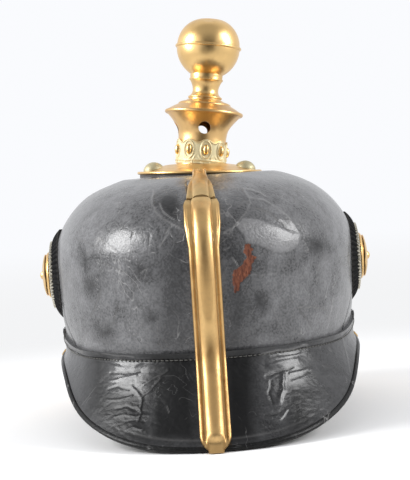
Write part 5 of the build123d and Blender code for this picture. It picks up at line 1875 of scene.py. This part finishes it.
@dataclass
class Finial:
    """Everything turned about the leaning axis: bead ring, cap, stem and ball, in millimetres."""

    body: Body
    palette: Palette
    neck_radius: float = 14.6
    ring_radius: float = 15.3
    ring_height: float = 14.2
    beads: int = 9
    bead_phase: float = math.radians(10.5 - 90)
    bead_half: Pair = (2.2, 3.7)
    bead_height: float = 7.4
    cap_height: float = 29.3
    ball_height: float = 70.9
    ball_radius: float = 19.3
    ball_wall: float = 1.0
    ball_waves: tuple[Wave, ...] = ((0.55, 61, 0.12), (0.22, 62, 0.05))
    bead_frame: Welt = Welt(0.55, 1.42, 0.17)
    bead_scale: float = 0.86
    ring_foot: Welt = Welt(0.5, 0.9, 0.7)
    ring_lip: Welt = Welt(0.45, -0.7, 0.5)
    ring_low: float = -0.9
    ball_dents: tuple = (((0.1, 0.0, 1.0), 0.5, -1.7), ((0.06, -0.5, 0.86), 0.14, -0.5))

    def bead_ring(self) -> None:
        """Makes the pressed ring with its beads."""
        angle = turns(432)
        pitch = FULL_TURN / self.beads
        local = (angle - self.bead_phase + pitch / 2) % pitch - pitch / 2
        aside = np.abs(local) * self.ring_radius
        half_pitch = pitch * self.ring_radius / 2
        scallop = self.ring_height - 1.0 + np.cos(local / pitch * FULL_TURN)
        level = self.ring_low + (scallop - 0.4 - self.ring_low) * spread(0, 1, 46)
        across, up = self.bead_half
        oval = np.hypot(aside / across, (level - self.bead_height) / up)
        leaf_line = (0.45 + 0.09 * np.maximum(level, 0)) * half_pitch
        leaf = 0.4 * bell(aside, leaf_line, 0.55) * soft_step(level, 4.6, 2.4)
        lip, foot = self.ring_lip.over(level - scallop), self.ring_foot.over(level)
        relief = np.maximum.reduce([self.bead_frame.over(oval), lip, leaf, foot])
        outer = rings_of(self.ring_radius - 0.12 + relief, angle, level)
        inner_level = level[::-9]
        inner = rings_of(np.full(inner_level.shape, self.neck_radius + 0.02), angle, inner_level)
        rings = np.concatenate([outer, inner]) * MM
        band = Mesh.tube("bead_ring_band", rings, self.palette.old_brass, loop=True)
        hollow = np.zeros(rings.shape[:2])
        hollow[:len(level)] = 0.45 + 0.4 * np.clip(1 - relief / 0.45, 0, 1)
        Mesh.mark(band, "hollow", hollow)
        band.data.transform(self.body.finial)
        settle(band, "helmet", "tarnished_brass", "pearl_ring")
        around = turns(20)
        share = spread(0, 0.5 * math.pi, 9)
        cap = np.stack([
            1.9 * np.sin(share) + 0 * around, across * self.bead_scale * np.cos(share) * np.cos(around),
            up * self.bead_scale * np.cos(share) * np.sin(around),
        ], axis=2)
        rings = np.concatenate([cap[:1], cap]) * MM
        rings[0, :, 0] = -0.4 * MM
        spot = self.body.finial @ Matrix.Translation((0, 0, self.bead_height * MM))
        beads = Copies.around("ring_beads", Mesh.tube("bead", rings), self.beads, self.ring_radius * MM,
                              self.bead_phase, spot, self.palette.brass)
        settle(beads, "helmet", "brass", "pearl_ring")

    def cap(self) -> None:
        """Makes the stepped cap on the neck."""
        base = self.cap_height
        profile = [
            (4.06, base + 9.2), (10.7, base + 9.2), (11.1, base + 9.05), (11.4, base + 8.6),
            (12.6, base + 8.3), (14.4, base + 7.75), (15.4, base + 7.3), (15.9, base + 6.9),
            (16.1, base + 6.2), (17.6, base + 5.4), (19.6, base + 4.25), (21.4, base + 3.2),
            (22.1, base + 2.75), *arc((22.7, base + 1.2), (1.2, 1.2), 80, -90, 14),
            (19.9, base), (14.7, base + 5.8), (8.0, base + 8.0), (8.0, base + 3.6), (4.06, base + 3.6),
        ]
        piece = Mesh.turned("neck_cap_sheet", profile, self.body.finial, self.palette.brown_brass, 160)
        settle(piece, "helmet", "brass", "neck_cap")

    def stem(self) -> None:
        """Makes the turned stem under the ball."""
        profile = [
            (4.0, 39.3), (9.8, 39.3), *arc((9.7, 40.0), (0.7, 0.7), -80, 80, 9), (9.5, 40.9), (8.8, 41.6),
            (8.1, 42.7), (7.8, 44.0), (7.85, 45.3), (8.15, 46.8), (8.7, 48.3), (9.3, 49.6), (9.8, 50.3),
            *arc((9.6, 51.1), (0.7, 0.75), -60, 70, 8), (9.75, 52.2), (9.9, 53.2), (9.85, 54.25),
            (4.0, 52.05),
        ]
        piece = Mesh.turned("ball_stem_turned", profile, self.body.finial, self.palette.brass, 112)
        settle(piece, "ball", "brass", "ball_stem")

    def ball(self) -> None:
        """Makes the ball's two half shells, with the dent on top."""
        axis = np.array(self.body.finial.col[2][:3])
        middle = np.array(self.body.finial @ Vector((0, 0, self.ball_height * MM)))
        for half, end in (("upper", 90.0), ("lower", -78.0)):
            outer = arc((0, self.ball_height), (self.ball_radius,) * 2, 0.0, end, 44)
            inner = arc((0, self.ball_height), (self.ball_radius - self.ball_wall,) * 2, end, 0.0, 14)
            piece = Mesh.turned(f"ball_{half}_half", outer + inner, self.body.finial, self.palette.brass, 128)
            points = Mesh.points(piece)
            way = unit(points - middle)
            push = dents(way, self.ball_waves)
            for spot, size, depth in self.ball_dents:
                push += depth * bell(np.linalg.norm(way - np.array(spot), axis=1), 0, size)
            push *= soft_step(np.abs(way @ axis), 0.03, 0.12)
            piece.data.vertices.foreach_set("co", (points + way * push[:, None] * MM).ravel())
            settle(piece, "ball", "brass", f"ball_{half}_shell")

    def build(self) -> None:
        """Makes all turned pieces."""
        self.bead_ring()
        self.cap()
        self.stem()
        self.ball()


@dataclass
class SideFittings:
    """Cockade and chin scales of both sides, in millimetres from the ear line."""

    body: Body
    palette: Palette
    radius: float = 27.5
    face: float = 93.9
    edge: float = 87.4
    bulge: float = 4.5
    sheet: float = 1.7
    flutes: int = 48
    ring_outer: float = 20.5
    ring_inner: float = 13.8
    ring_face: float = 94.3
    teeth: int = 60
    hole_radius: float = 2.1
    flute_depth: float = 0.9
    flute_start: Pair = (15.0, 22.0)
    tooth_depth: float = 0.8
    loop: Pair = (95.2, 128.0)
    backing: float = 0.8
    droop: float = math.radians(19)
    scales: int = 13
    scale_half_width: float = 10.5
    end_radius: float = 12.0
    front_gap: float = 15.0
    scale_bead: Welt = Welt(0.16, 0.9, 0.07)

    def place(self, side: Side) -> Matrix:
        """Frame of a side, with its origin on the skull's axis and its third axis outwards."""
        origin = (0, self.body.axis_y, self.body.ear_height)
        return frame_at(origin, Vector((0, side.value, 0)), Vector((side.value, 0, 0)))

    def plate(
        self, name: str, side: Side, radii: np.ndarray, top: np.ndarray, bottom: np.ndarray,
        material: bpy.types.Material, marks: dict[str, np.ndarray],
    ) -> bpy.types.Object:
        """Closed round plate from its radii and faces over radius and angle.

        Args:
            name: The piece's name.
            side: The side it is on.
            radii: Radius at each place.
            top: Outer face.
            bottom: Inner face.
            material: Its finish.
            marks: Values of the outer face for the finish.

        Returns:
            The piece.
        """
        radii = np.concatenate([radii, radii[::-1]])
        level = np.concatenate([top, bottom[::-1]])
        piece = Mesh.tube(name, rings_of(radii, turns(radii.shape[1]), level) * MM, material, loop=True)
        for mark, values in marks.items():
            Mesh.mark(piece, mark, np.concatenate([values, values]))
        piece.data.transform(self.place(side))
        return piece

    def bowl(self, radii: np.ndarray) -> np.ndarray:
        """Height of the dish's outer face at radii, before its flutes."""
        return self.face - (self.face - self.edge) * (radii / self.radius) ** self.bulge

    def cockade(self, side: Side) -> None:
        """Makes the fluted dish and the serrated ring.

        Args:
            side: The side.
        """
        share = 1 - (1 - spread(0, 1, 36)) ** 1.6
        wave = np.abs(np.cos(turns(self.flutes * 10) * self.flutes / 2))
        rim = self.radius - self.flute_depth * (1 - wave)
        radii = self.hole_radius + (rim - self.hole_radius) * share
        top = self.bowl(radii) + self.flute_depth * (wave - 0.65) * soft_step(radii, *self.flute_start) - 0.15
        marks = {"edge": soft_step(share, 0.93, 1.0) * np.ones_like(top) + 0.45 * (wave > 0.9) * share**3}
        bottom = np.minimum(self.bowl(radii) - self.sheet, top - 0.5)
        piece = self.plate(f"cockade_dish_{side.word}", side, radii, top, bottom, self.palette.black, marks)
        settle(piece, "helmet", "cockade_black", f"cockade_{side.word}")
        saw = np.abs(np.cos(turns(self.teeth * 6) * self.teeth / 2))
        share = spread(0, 1, 12)
        rim = self.ring_outer - self.tooth_depth * (1 - saw)
        radii = self.ring_inner + (rim - self.ring_inner) * share
        top = self.ring_face - 1.0 * share**1.6 + 0.22 * (saw - 0.5) * soft_step(share, 0.2, 0.6)
        marks = {"hollow": np.clip(1 - saw, 0, 1) * 0.8 * np.ones_like(top)}
        bottom = self.bowl(radii) - 0.6
        piece = self.plate(f"cockade_teeth_{side.word}", side, radii, top, bottom, self.palette.silver, marks)
        settle(piece, "helmet", "silver", f"cockade_ring_{side.word}")

    def path(self, side: Side, out: float) -> tuple[np.ndarray, np.ndarray]:
        """The chin loop's line at a distance outside its inner face.

        Args:
            side: The side.
            out: Distance outside the loop's inner face.

        Returns:
            Points in metres from the ear to the front, and outward directions.
        """
        angle = np.radians(np.linspace(0, 90, 500))
        wide, deep = (half_axis + out for half_axis in self.loop)
        flat = np.stack([wide * np.cos(angle), deep * np.sin(angle)], axis=1) * MM
        along = np.gradient(flat, axis=0)
        normal = unit(np.stack([along[:, 1], -along[:, 0]], axis=1))
        forward = np.array([0, math.cos(self.droop), -math.sin(self.droop)])
        aside = np.array([side.value, 0, 0])
        start = np.array([0, self.body.axis_y, self.body.ear_height])
        points = start + flat[:, :1] * aside + flat[:, 1:] * forward
        return points, normal[:, :1] * aside + normal[:, 1:] * forward

    def scale(self, length: float) -> bpy.types.Object:
        """One chin scale, along X, with a round raised front edge.

        Args:
            length: Distance from scale to scale in millimetres.

        Returns:
            The scale.
        """
        across = spread(-1, 1, 15)
        share = np.linspace(0, 1, 12)
        bow = 0.34 * length * (1 - across**2) ** 0.8
        x = (share - 0.5) * length * 1.12 + bow - 0.22 * length
        y = across * self.scale_half_width + 0 * share
        bottom = 0.08 + 0.3 * share**2 + 0 * across
        top = bottom + 0.42 + self.scale_bead.over(share) - 0.3 * np.abs(across) ** 6
        upper, lower = (np.stack([x, y, level], axis=2) for level in (top, bottom))
        return Mesh.tube("chin_plate", np.concatenate([upper, lower[:, ::-1]], axis=1) * MM)

    def chin(self, side: Side) -> None:
        """Makes the chin scales and the disc at their end.

        Args:
            side: The side.
        """
        points, outward = self.path(side, self.backing)
        length = length_to(points)
        start, end = (self.end_radius + 1.5) * MM, length[-1] - self.front_gap * MM
        keep = (length > start) & (length < end)
        run = length[keep][-1] - length[keep][0]
        pitch = run / self.scales
        size = 1.0 - 0.19 * (length[keep] - start) / run
        middle = keep & (length > start + pitch / 2) & (length < end - pitch / 4)
        size = size[middle[keep]]
        line = np.stack([points[middle], outward[middle]])
        plates = Copies.along(
            f"chin_plates_{side.word}", line, self.scale(pitch / MM), pitch, self.palette.brass, size
        )
        settle(plates, "chin_scales", "brass", f"chin_scales_{side.word}")
        face = self.loop[0] + self.backing
        disc = [
            (2.08, face), (12.1, face), (13.7, face - 1.15), (14.1, face - 1.2), (14.2, face - 1.0),
            (13.6, face - 0.2), (12.6, face + 0.45), (11.7, face + 0.66), (10.6, face + 0.56),
            (2.08, face + 0.5),
        ]
        end_disc = Mesh.turned(f"chin_end_disc_{side.word}", disc, self.place(side), self.palette.brass, 72)
        settle(end_disc, "chin_scales", "brass", f"chin_scales_{side.word}")

    def build(self) -> None:
        """Makes both sides."""
        for side in Side:
            self.cockade(side)
            self.chin(side)


@dataclass
class FrontPlate:
    """The rayed star and its plain middle, laid on the skull's front."""

    body: Body
    skull: Skull
    palette: Palette
    height: float = 96.0
    radius: float = 37.0
    notch: float = 0.8
    rays: int = 16
    thickness: float = 1.4
    boss_radius: float = 15.0
    boss_rise: float = 2.0
    boss_columns: int = 160
    rope: Welt = Welt(0.5, 0.93, 0.05)
    rope_turns: int = 54
    inner_ring: Welt = Welt(0.35, 0.76, 0.03)

    def laid(self, name: str, radii: np.ndarray, top: np.ndarray, bottom: float) -> bpy.types.Object:
        """Closed relief that follows the skull.

        Args:
            name: The piece's name.
            radii: Distance from the star's middle at each place.
            top: Height of the outer face over the skull.
            bottom: Height of the inner face over the skull.

        Returns:
            The piece.
        """
        angle = turns(radii.shape[1])
        radii = np.concatenate([radii, radii[::-1]])
        over = np.concatenate([top, np.full(top.shape, bottom)]) * MM - 0.2 * MM
        across, level = radii * np.sin(angle) * MM, (self.height + radii * np.cos(angle)) * MM
        wide, slope = self.skull.wall(level, 120)
        lean = 1 / np.sqrt(1 + (slope * self.body.stretch) ** 2)
        depth = self.body.stretch * np.sqrt(np.maximum(wide**2 - across**2, 1e-6)) + over * lean
        level = level - over * slope * self.body.stretch * lean
        points = np.stack([across * (1 + over / wide), self.body.axis_y + depth, level], axis=2)
        return Mesh.tube(name, points, self.palette.brass, loop=True)

    def build(self) -> None:
        """Makes the star and its middle."""
        angle = turns(self.rays * 16)
        local = np.abs((angle * self.rays / FULL_TURN + 0.5) % 1 - 0.5) * 2
        rim = self.radius * (1 - (1 - self.notch) * local)
        share = spread(0.004, 1, 34)
        fine = 0.12 * np.abs(np.sin(angle * self.rays * 2))
        relief = self.thickness + (0.75 * (1 - local) - fine) * soft_step(share, 0.3, 0.5)
        relief -= 0.5 * soft_step(share, 0.93, 1.0)
        star = self.laid("star_plate", rim * share, relief, 0.1)
        settle(star, "helmet", "brass", "front_plate")
        share = spread(0.004, 1, 30)
        rim = np.full(self.boss_columns, self.boss_radius)
        twist = 0.7 + 0.3 * np.sin(np.linspace(0, FULL_TURN, self.boss_columns) * self.rope_turns)
        dome = self.thickness + 0.7 + (self.boss_rise - 0.9) * (1 - share**2)
        dome = dome + self.rope.over(share) * twist + self.inner_ring.over(share)
        boss = self.laid("star_boss", rim * share, dome - 0.6 * soft_step(share, 0.96, 1.0), self.thickness)
        settle(boss, "helmet", "brass", "front_plate_boss")


@dataclass
class Lining:
    """Sweatband, tongues and lace inside the skull, in millimetres."""

    body: Body
    skull: Skull
    palette: Palette
    tongues: int = 12
    band_inset: Pair = (3.1, 4.4)
    band_levels: Pair = (40.0, 80.0)
    tongue_inset: float = 5.6
    tongue_levels: Pair = (73.0, 128.0)
    lace_level: float = 123.2
    lace_inset: float = 6.5
    lace_half: Pair = (0.75, 1.15)
    tongue_leather: float = 1.1
    tip_drop: float = 5.0

    def shell(self, turn: np.ndarray, level: np.ndarray, inset: np.ndarray) -> np.ndarray:
        """Points inside the skull at angles, heights and insets."""
        wide, slope = self.skull.wall(level * MM, 160)
        return self.body.oval(wide - inset * MM * np.sqrt(1 + slope**2), turn, level * MM, Facing.REAR)

    def band(self) -> None:
        """Makes the sweatband."""
        turn = turns(420)
        level = spread(*self.band_levels, 26) + 0 * turn
        place = self.shell(turn, level, np.full(level.shape, self.band_inset[1]))
        pucker = smooth_noise(place.reshape(-1, 3) * [1, 1, 0.3], 0.012, 71).reshape(level.shape)
        pucker = 0.45 * pucker * soft_step(level, 42, 52)
        depth = self.band_inset[1] + pucker - 0.5 * soft_step(level, 42.5, 40)
        inner = self.shell(turn, level, depth)
        back = level[::-5]
        outer = self.shell(turn, back, np.full(back.shape, self.band_inset[0]))
        band = Mesh.tube("sweatband_leather", np.concatenate([inner, outer]), self.palette.tan, loop=True)
        settle(band, "helmet", "tan_leather", "sweatband")

    def tongue_strip(self) -> None:
        """Makes the tongues, each with its own waves."""
        pieces = []
        pitch = FULL_TURN / self.tongues
        share, across = spread(0, 1, 30), np.linspace(-1, 1, 18)
        low, high = self.tongue_levels
        for number in range(self.tongues):
            level = low + (high - low) * share + 0 * across - self.tip_drop * across**4 * share**3
            angle = (number + 0.5) * pitch + pitch / 2 * (1 - 0.1 - 0.22 * share**2) * across
            spots = np.stack([angle.ravel() * 0.08, level.ravel() * 0.0004, 0 * level.ravel()], axis=1)
            wave = 0.5 * smooth_noise(spots, 0.012, 73).reshape(level.shape)
            depth = self.tongue_inset + wave + 0.5 * share
            back = self.shell(angle, level, depth - self.tongue_leather)[:, ::-1]
            faces = [self.shell(angle, level, depth), back]
            pieces.append(Mesh.tube(f"tongue_{number}", np.concatenate(faces, axis=1), self.palette.tan))
        tongues = Mesh.joined("liner_tongue_leather", pieces)
        settle(tongues, "helmet", "tan_leather", "liner_tongues")

    def lace(self) -> None:
        """Makes the lace that is threaded through the tongues' tips."""
        turn = turns(480)
        weave = np.cos(turn * self.tongues)
        middle = self.shell(turn, self.lace_level + 0.5 * weave, self.lace_inset + 0.9 * weave)
        along = unit(np.gradient(np.concatenate([middle[-1:], middle, middle[:1]]), axis=0)[1:-1])
        up = np.array([0, 0, 1.0]) - along * along[:, 2:]
        out = np.cross(along, up)
        angle = turns(10)[None, :, None]
        half_out, half_up = self.lace_half
        around = half_out * np.cos(angle) * out[:, None] + half_up * np.sin(angle) * up[:, None]
        rings = middle[:, None] + MM * around
        lace = Mesh.tube("liner_lace_cord", rings, self.palette.lace, loop=True)
        settle(lace, "helmet", "lace", "liner_lace")

    def build(self) -> None:
        """Makes the lining."""
        self.band()
        self.tongue_strip()
        self.lace()


@dataclass
class Leathers:
    """Thin leathers that keep their packed outline: peak linings, chin straps and washer."""

    palette: Palette

    def recut(self, node: str, body: str, slot: str, material: bpy.types.Material, ripple: float) -> None:
        """Closed copy of a packed leather, finely divided and gently uneven.

        Args:
            node: The node.
            body: The body that carries it.
            slot: Its material slot.
            material: Its finish.
            ripple: Height of its unevenness in millimetres.
        """
        mesh = frame["nodes"][node].data.copy()
        work = bmesh.new()
        work.from_mesh(mesh)
        bmesh.ops.remove_doubles(work, verts=work.verts, dist=2e-6)
        long_edges = [edge for edge in work.edges if edge.calc_length() > 6 * MM]
        bmesh.ops.subdivide_edges(work, edges=long_edges, cuts=1, use_grid_fill=True)
        bmesh.ops.triangulate(work, faces=[face for face in work.faces if len(face.verts) > 4])
        points = np.array([vertex.co[:] for vertex in work.verts])
        push = smooth_noise(points, 0.014, 81) * ripple * MM
        for vertex, amount in zip(work.verts, push):
            vertex.co += vertex.normal * float(amount) * 0.5
        work.to_mesh(mesh)
        work.free()
        mesh.materials.clear()
        mesh.materials.append(material)
        Mesh.smooth(mesh, 35.0)
        settle(linked(f"{node}_leather", mesh), body, slot, node)

    def build(self) -> None:
        """Makes all of them."""
        self.recut("rear_peak_lining", "helmet", "green_lining", self.palette.green, 0.12)
        self.recut("front_peak_lining", "helmet", "red_lining", self.palette.red, 0.12)
        self.recut("base_washer", "helmet", "black_backing", self.palette.strap, 0.0)
        for side in Side:
            self.recut(f"chin_backing_{side.word}", "chin_scales", "black_backing", self.palette.strap, 0.05)


@dataclass
class Stage:
    """Floor, lamps, world and camera."""

    view: Viewpoint
    floor_colour: Colour = (0.86, 0.86, 0.86)
    floor_ahead: float = 0.55
    floor_far: Pair = (0.14, 0.5)
    floor_white: Colour = (0.9, 0.905, 0.915)
    backdrop_white: Colour = (0.955, 0.965, 0.99)
    backdrop_far: Pair = (0.6, 2.6)
    floor_size: float = 8.0
    floor_drop: float = 0.5 * MM
    target: Spot = (0.0, 0.0, 0.11)
    lamps: tuple = (
        ("left lamp", (-1.12, -0.25, 0.65), (0.55, 0.72), 18.0),
        ("right lamp", (1.1, -0.3, 0.65), (0.42, 0.7), 12.0),
    )

    def floor(self) -> None:
        """Makes the pale floor, which turns plain white away from the helmet for what the camera sees."""
        graph = Surface("pale floor")
        path = graph.node("ShaderNodeLightPath", {}, {})
        kinds = ("Camera", "Glossy", "Transmission")
        rays = [Signal(graph, path.outputs[f"Is {kind} Ray"]) for kind in kinds]
        seen = (rays[0] + rays[1] + rays[2]).held()
        length = graph.node("ShaderNodeVectorMath", {"operation": "LENGTH"}, {0: graph.places()})
        away = Signal(graph, length.outputs["Value"])
        white = seen * away.within(*self.floor_far)
        shade = graph.blend(away.within(*self.backdrop_far), self.floor_white, self.backdrop_white)
        material = graph.finish(
            Base_Color=graph.blend(white, self.floor_colour, (0.0, 0.0, 0.0)), Roughness=0.8,
            Specular_IOR_Level=0.0, Emission_Color=graph.blend(white, (0.0, 0.0, 0.0), shade),
            Emission_Strength=1.0,
        )
        size, near = self.floor_size, -self.floor_ahead
        corners = np.array([(-size, near, 0), (size, near, 0), (size, size, 0), (-size, size, 0)], float)
        floor = Mesh.make("floor", corners - [0, 0, self.floor_drop], [(0, 1, 2, 3)], material)

    def lamp(self, name: str, place: Spot, size: Pair, power: float) -> None:
        """Area lamp that looks at the helmet.

        Args:
            name: The lamp's name.
            place: Where it stands.
            size: Its width and height.
            power: Its power in watts.
        """
        data = bpy.data.lights.new(name, "AREA")
        data.shape = "RECTANGLE"
        data.size, data.size_y = size
        data.energy = power
        way = Vector(self.target) - Vector(place)
        turn = way.to_track_quat("-Z", "Y").to_matrix().to_4x4()
        linked(name, data).matrix_world = Matrix.Translation(place) @ turn

    def world(self) -> None:
        """White walls beside and behind the helmet, a dimmer ceiling, and dark around the camera."""
        room = Room("white room")
        spot = room.node("ShaderNodeTexCoord", {}, {}).outputs["Generated"]
        across, depth, height = (
            Signal(room, socket) for socket in room.node("ShaderNodeSeparateXYZ", {}, {0: spot}).outputs
        )
        side = room.math("ABSOLUTE", across, 0.0).within(0.22, 0.62) * (0.95 - across * 0.2)
        side = side * (1 - height.within(0.35, 0.85) * 0.6)
        level = room.math("MAXIMUM", side, depth.within(-0.3, 0.4) * 0.9)
        level = room.math("MAXIMUM", level, height.within(0.2, 0.9) * 0.45) + 0.08
        path = room.node("ShaderNodeLightPath", {}, {})
        level = room.math("MAXIMUM", level, Signal(room, path.outputs["Is Camera Ray"]))
        room.feed(room.shader.inputs["Color"], self.backdrop_white)
        room.feed(room.shader.inputs["Strength"], level)

    def build(self) -> None:
        """Sets the whole stage."""
        self.floor()
        for lamp in self.lamps:
            self.lamp(*lamp)
        self.world()
        self.view.camera()
        bpy.context.scene.view_settings.view_transform = "Standard"


def dress_frame(palette: Palette) -> None:
    """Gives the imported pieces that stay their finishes.

    Args:
        palette: The finishes.
    """
    finishes = {
        palette.brass: (
            "spine_fixing_posts", "ball_washer", "ball_seam_bead", "ball_stud", "rosette_left",
            "rosette_right", "side_screw_left", "side_screw_right", "chin_buckle", "chin_buckle_tongue",
            "front_plate_posts",
        ),
        palette.stud: ("base_studs",),
        palette.brown_brass: ("neck",),
        palette.steel: (
            "spine_fixing_nuts", "base_stud_nuts", "side_nut_left", "side_nut_right", "front_plate_nuts",
        ),
    }
    for material, nodes in finishes.items():
        for node in nodes:
            thing = frame["nodes"][node]
            if not thing.material_slots:
                thing.data.materials.append(material)
            for slot in thing.material_slots:
                slot.material = material


def main() -> None:
    """Builds the helmet's looks and its stage in order."""
    logging.basicConfig(level=logging.INFO, format="%(message)s")
    body = Body.read()
    view = Viewpoint(body.axis_y)
    palette = Palette()
    skull = Skull(body, view, palette)
    skull.build()
    rear = Peak(body, view, palette, Facing.REAR, PEAK_WEAR_AND_PAINTED_LIGHT)
    rear.build()
    rear.edging("rear_peak_binding", "peak_binding", palette.binding, 0.6 * MM, 2.4 * MM, 0.2 * MM)
    front = Peak(body, view, palette, Facing.FRONT, Wear())
    front.build()
    front.edging("front_peak_trim", "brass", palette.brass, 0.95 * MM, 4.5 * MM, 0.0)
    Spine(body, view, palette).build()
    BaseFittings(body, palette).build()
    Finial(body, palette).build()
    SideFittings(body, palette).build()
    FrontPlate(body, skull, palette).build()
    Lining(body, skull, palette).build()
    Leathers(palette).build()
    dress_frame(palette)
    Stage(view).build()


if __name__ == "__main__":
    main()
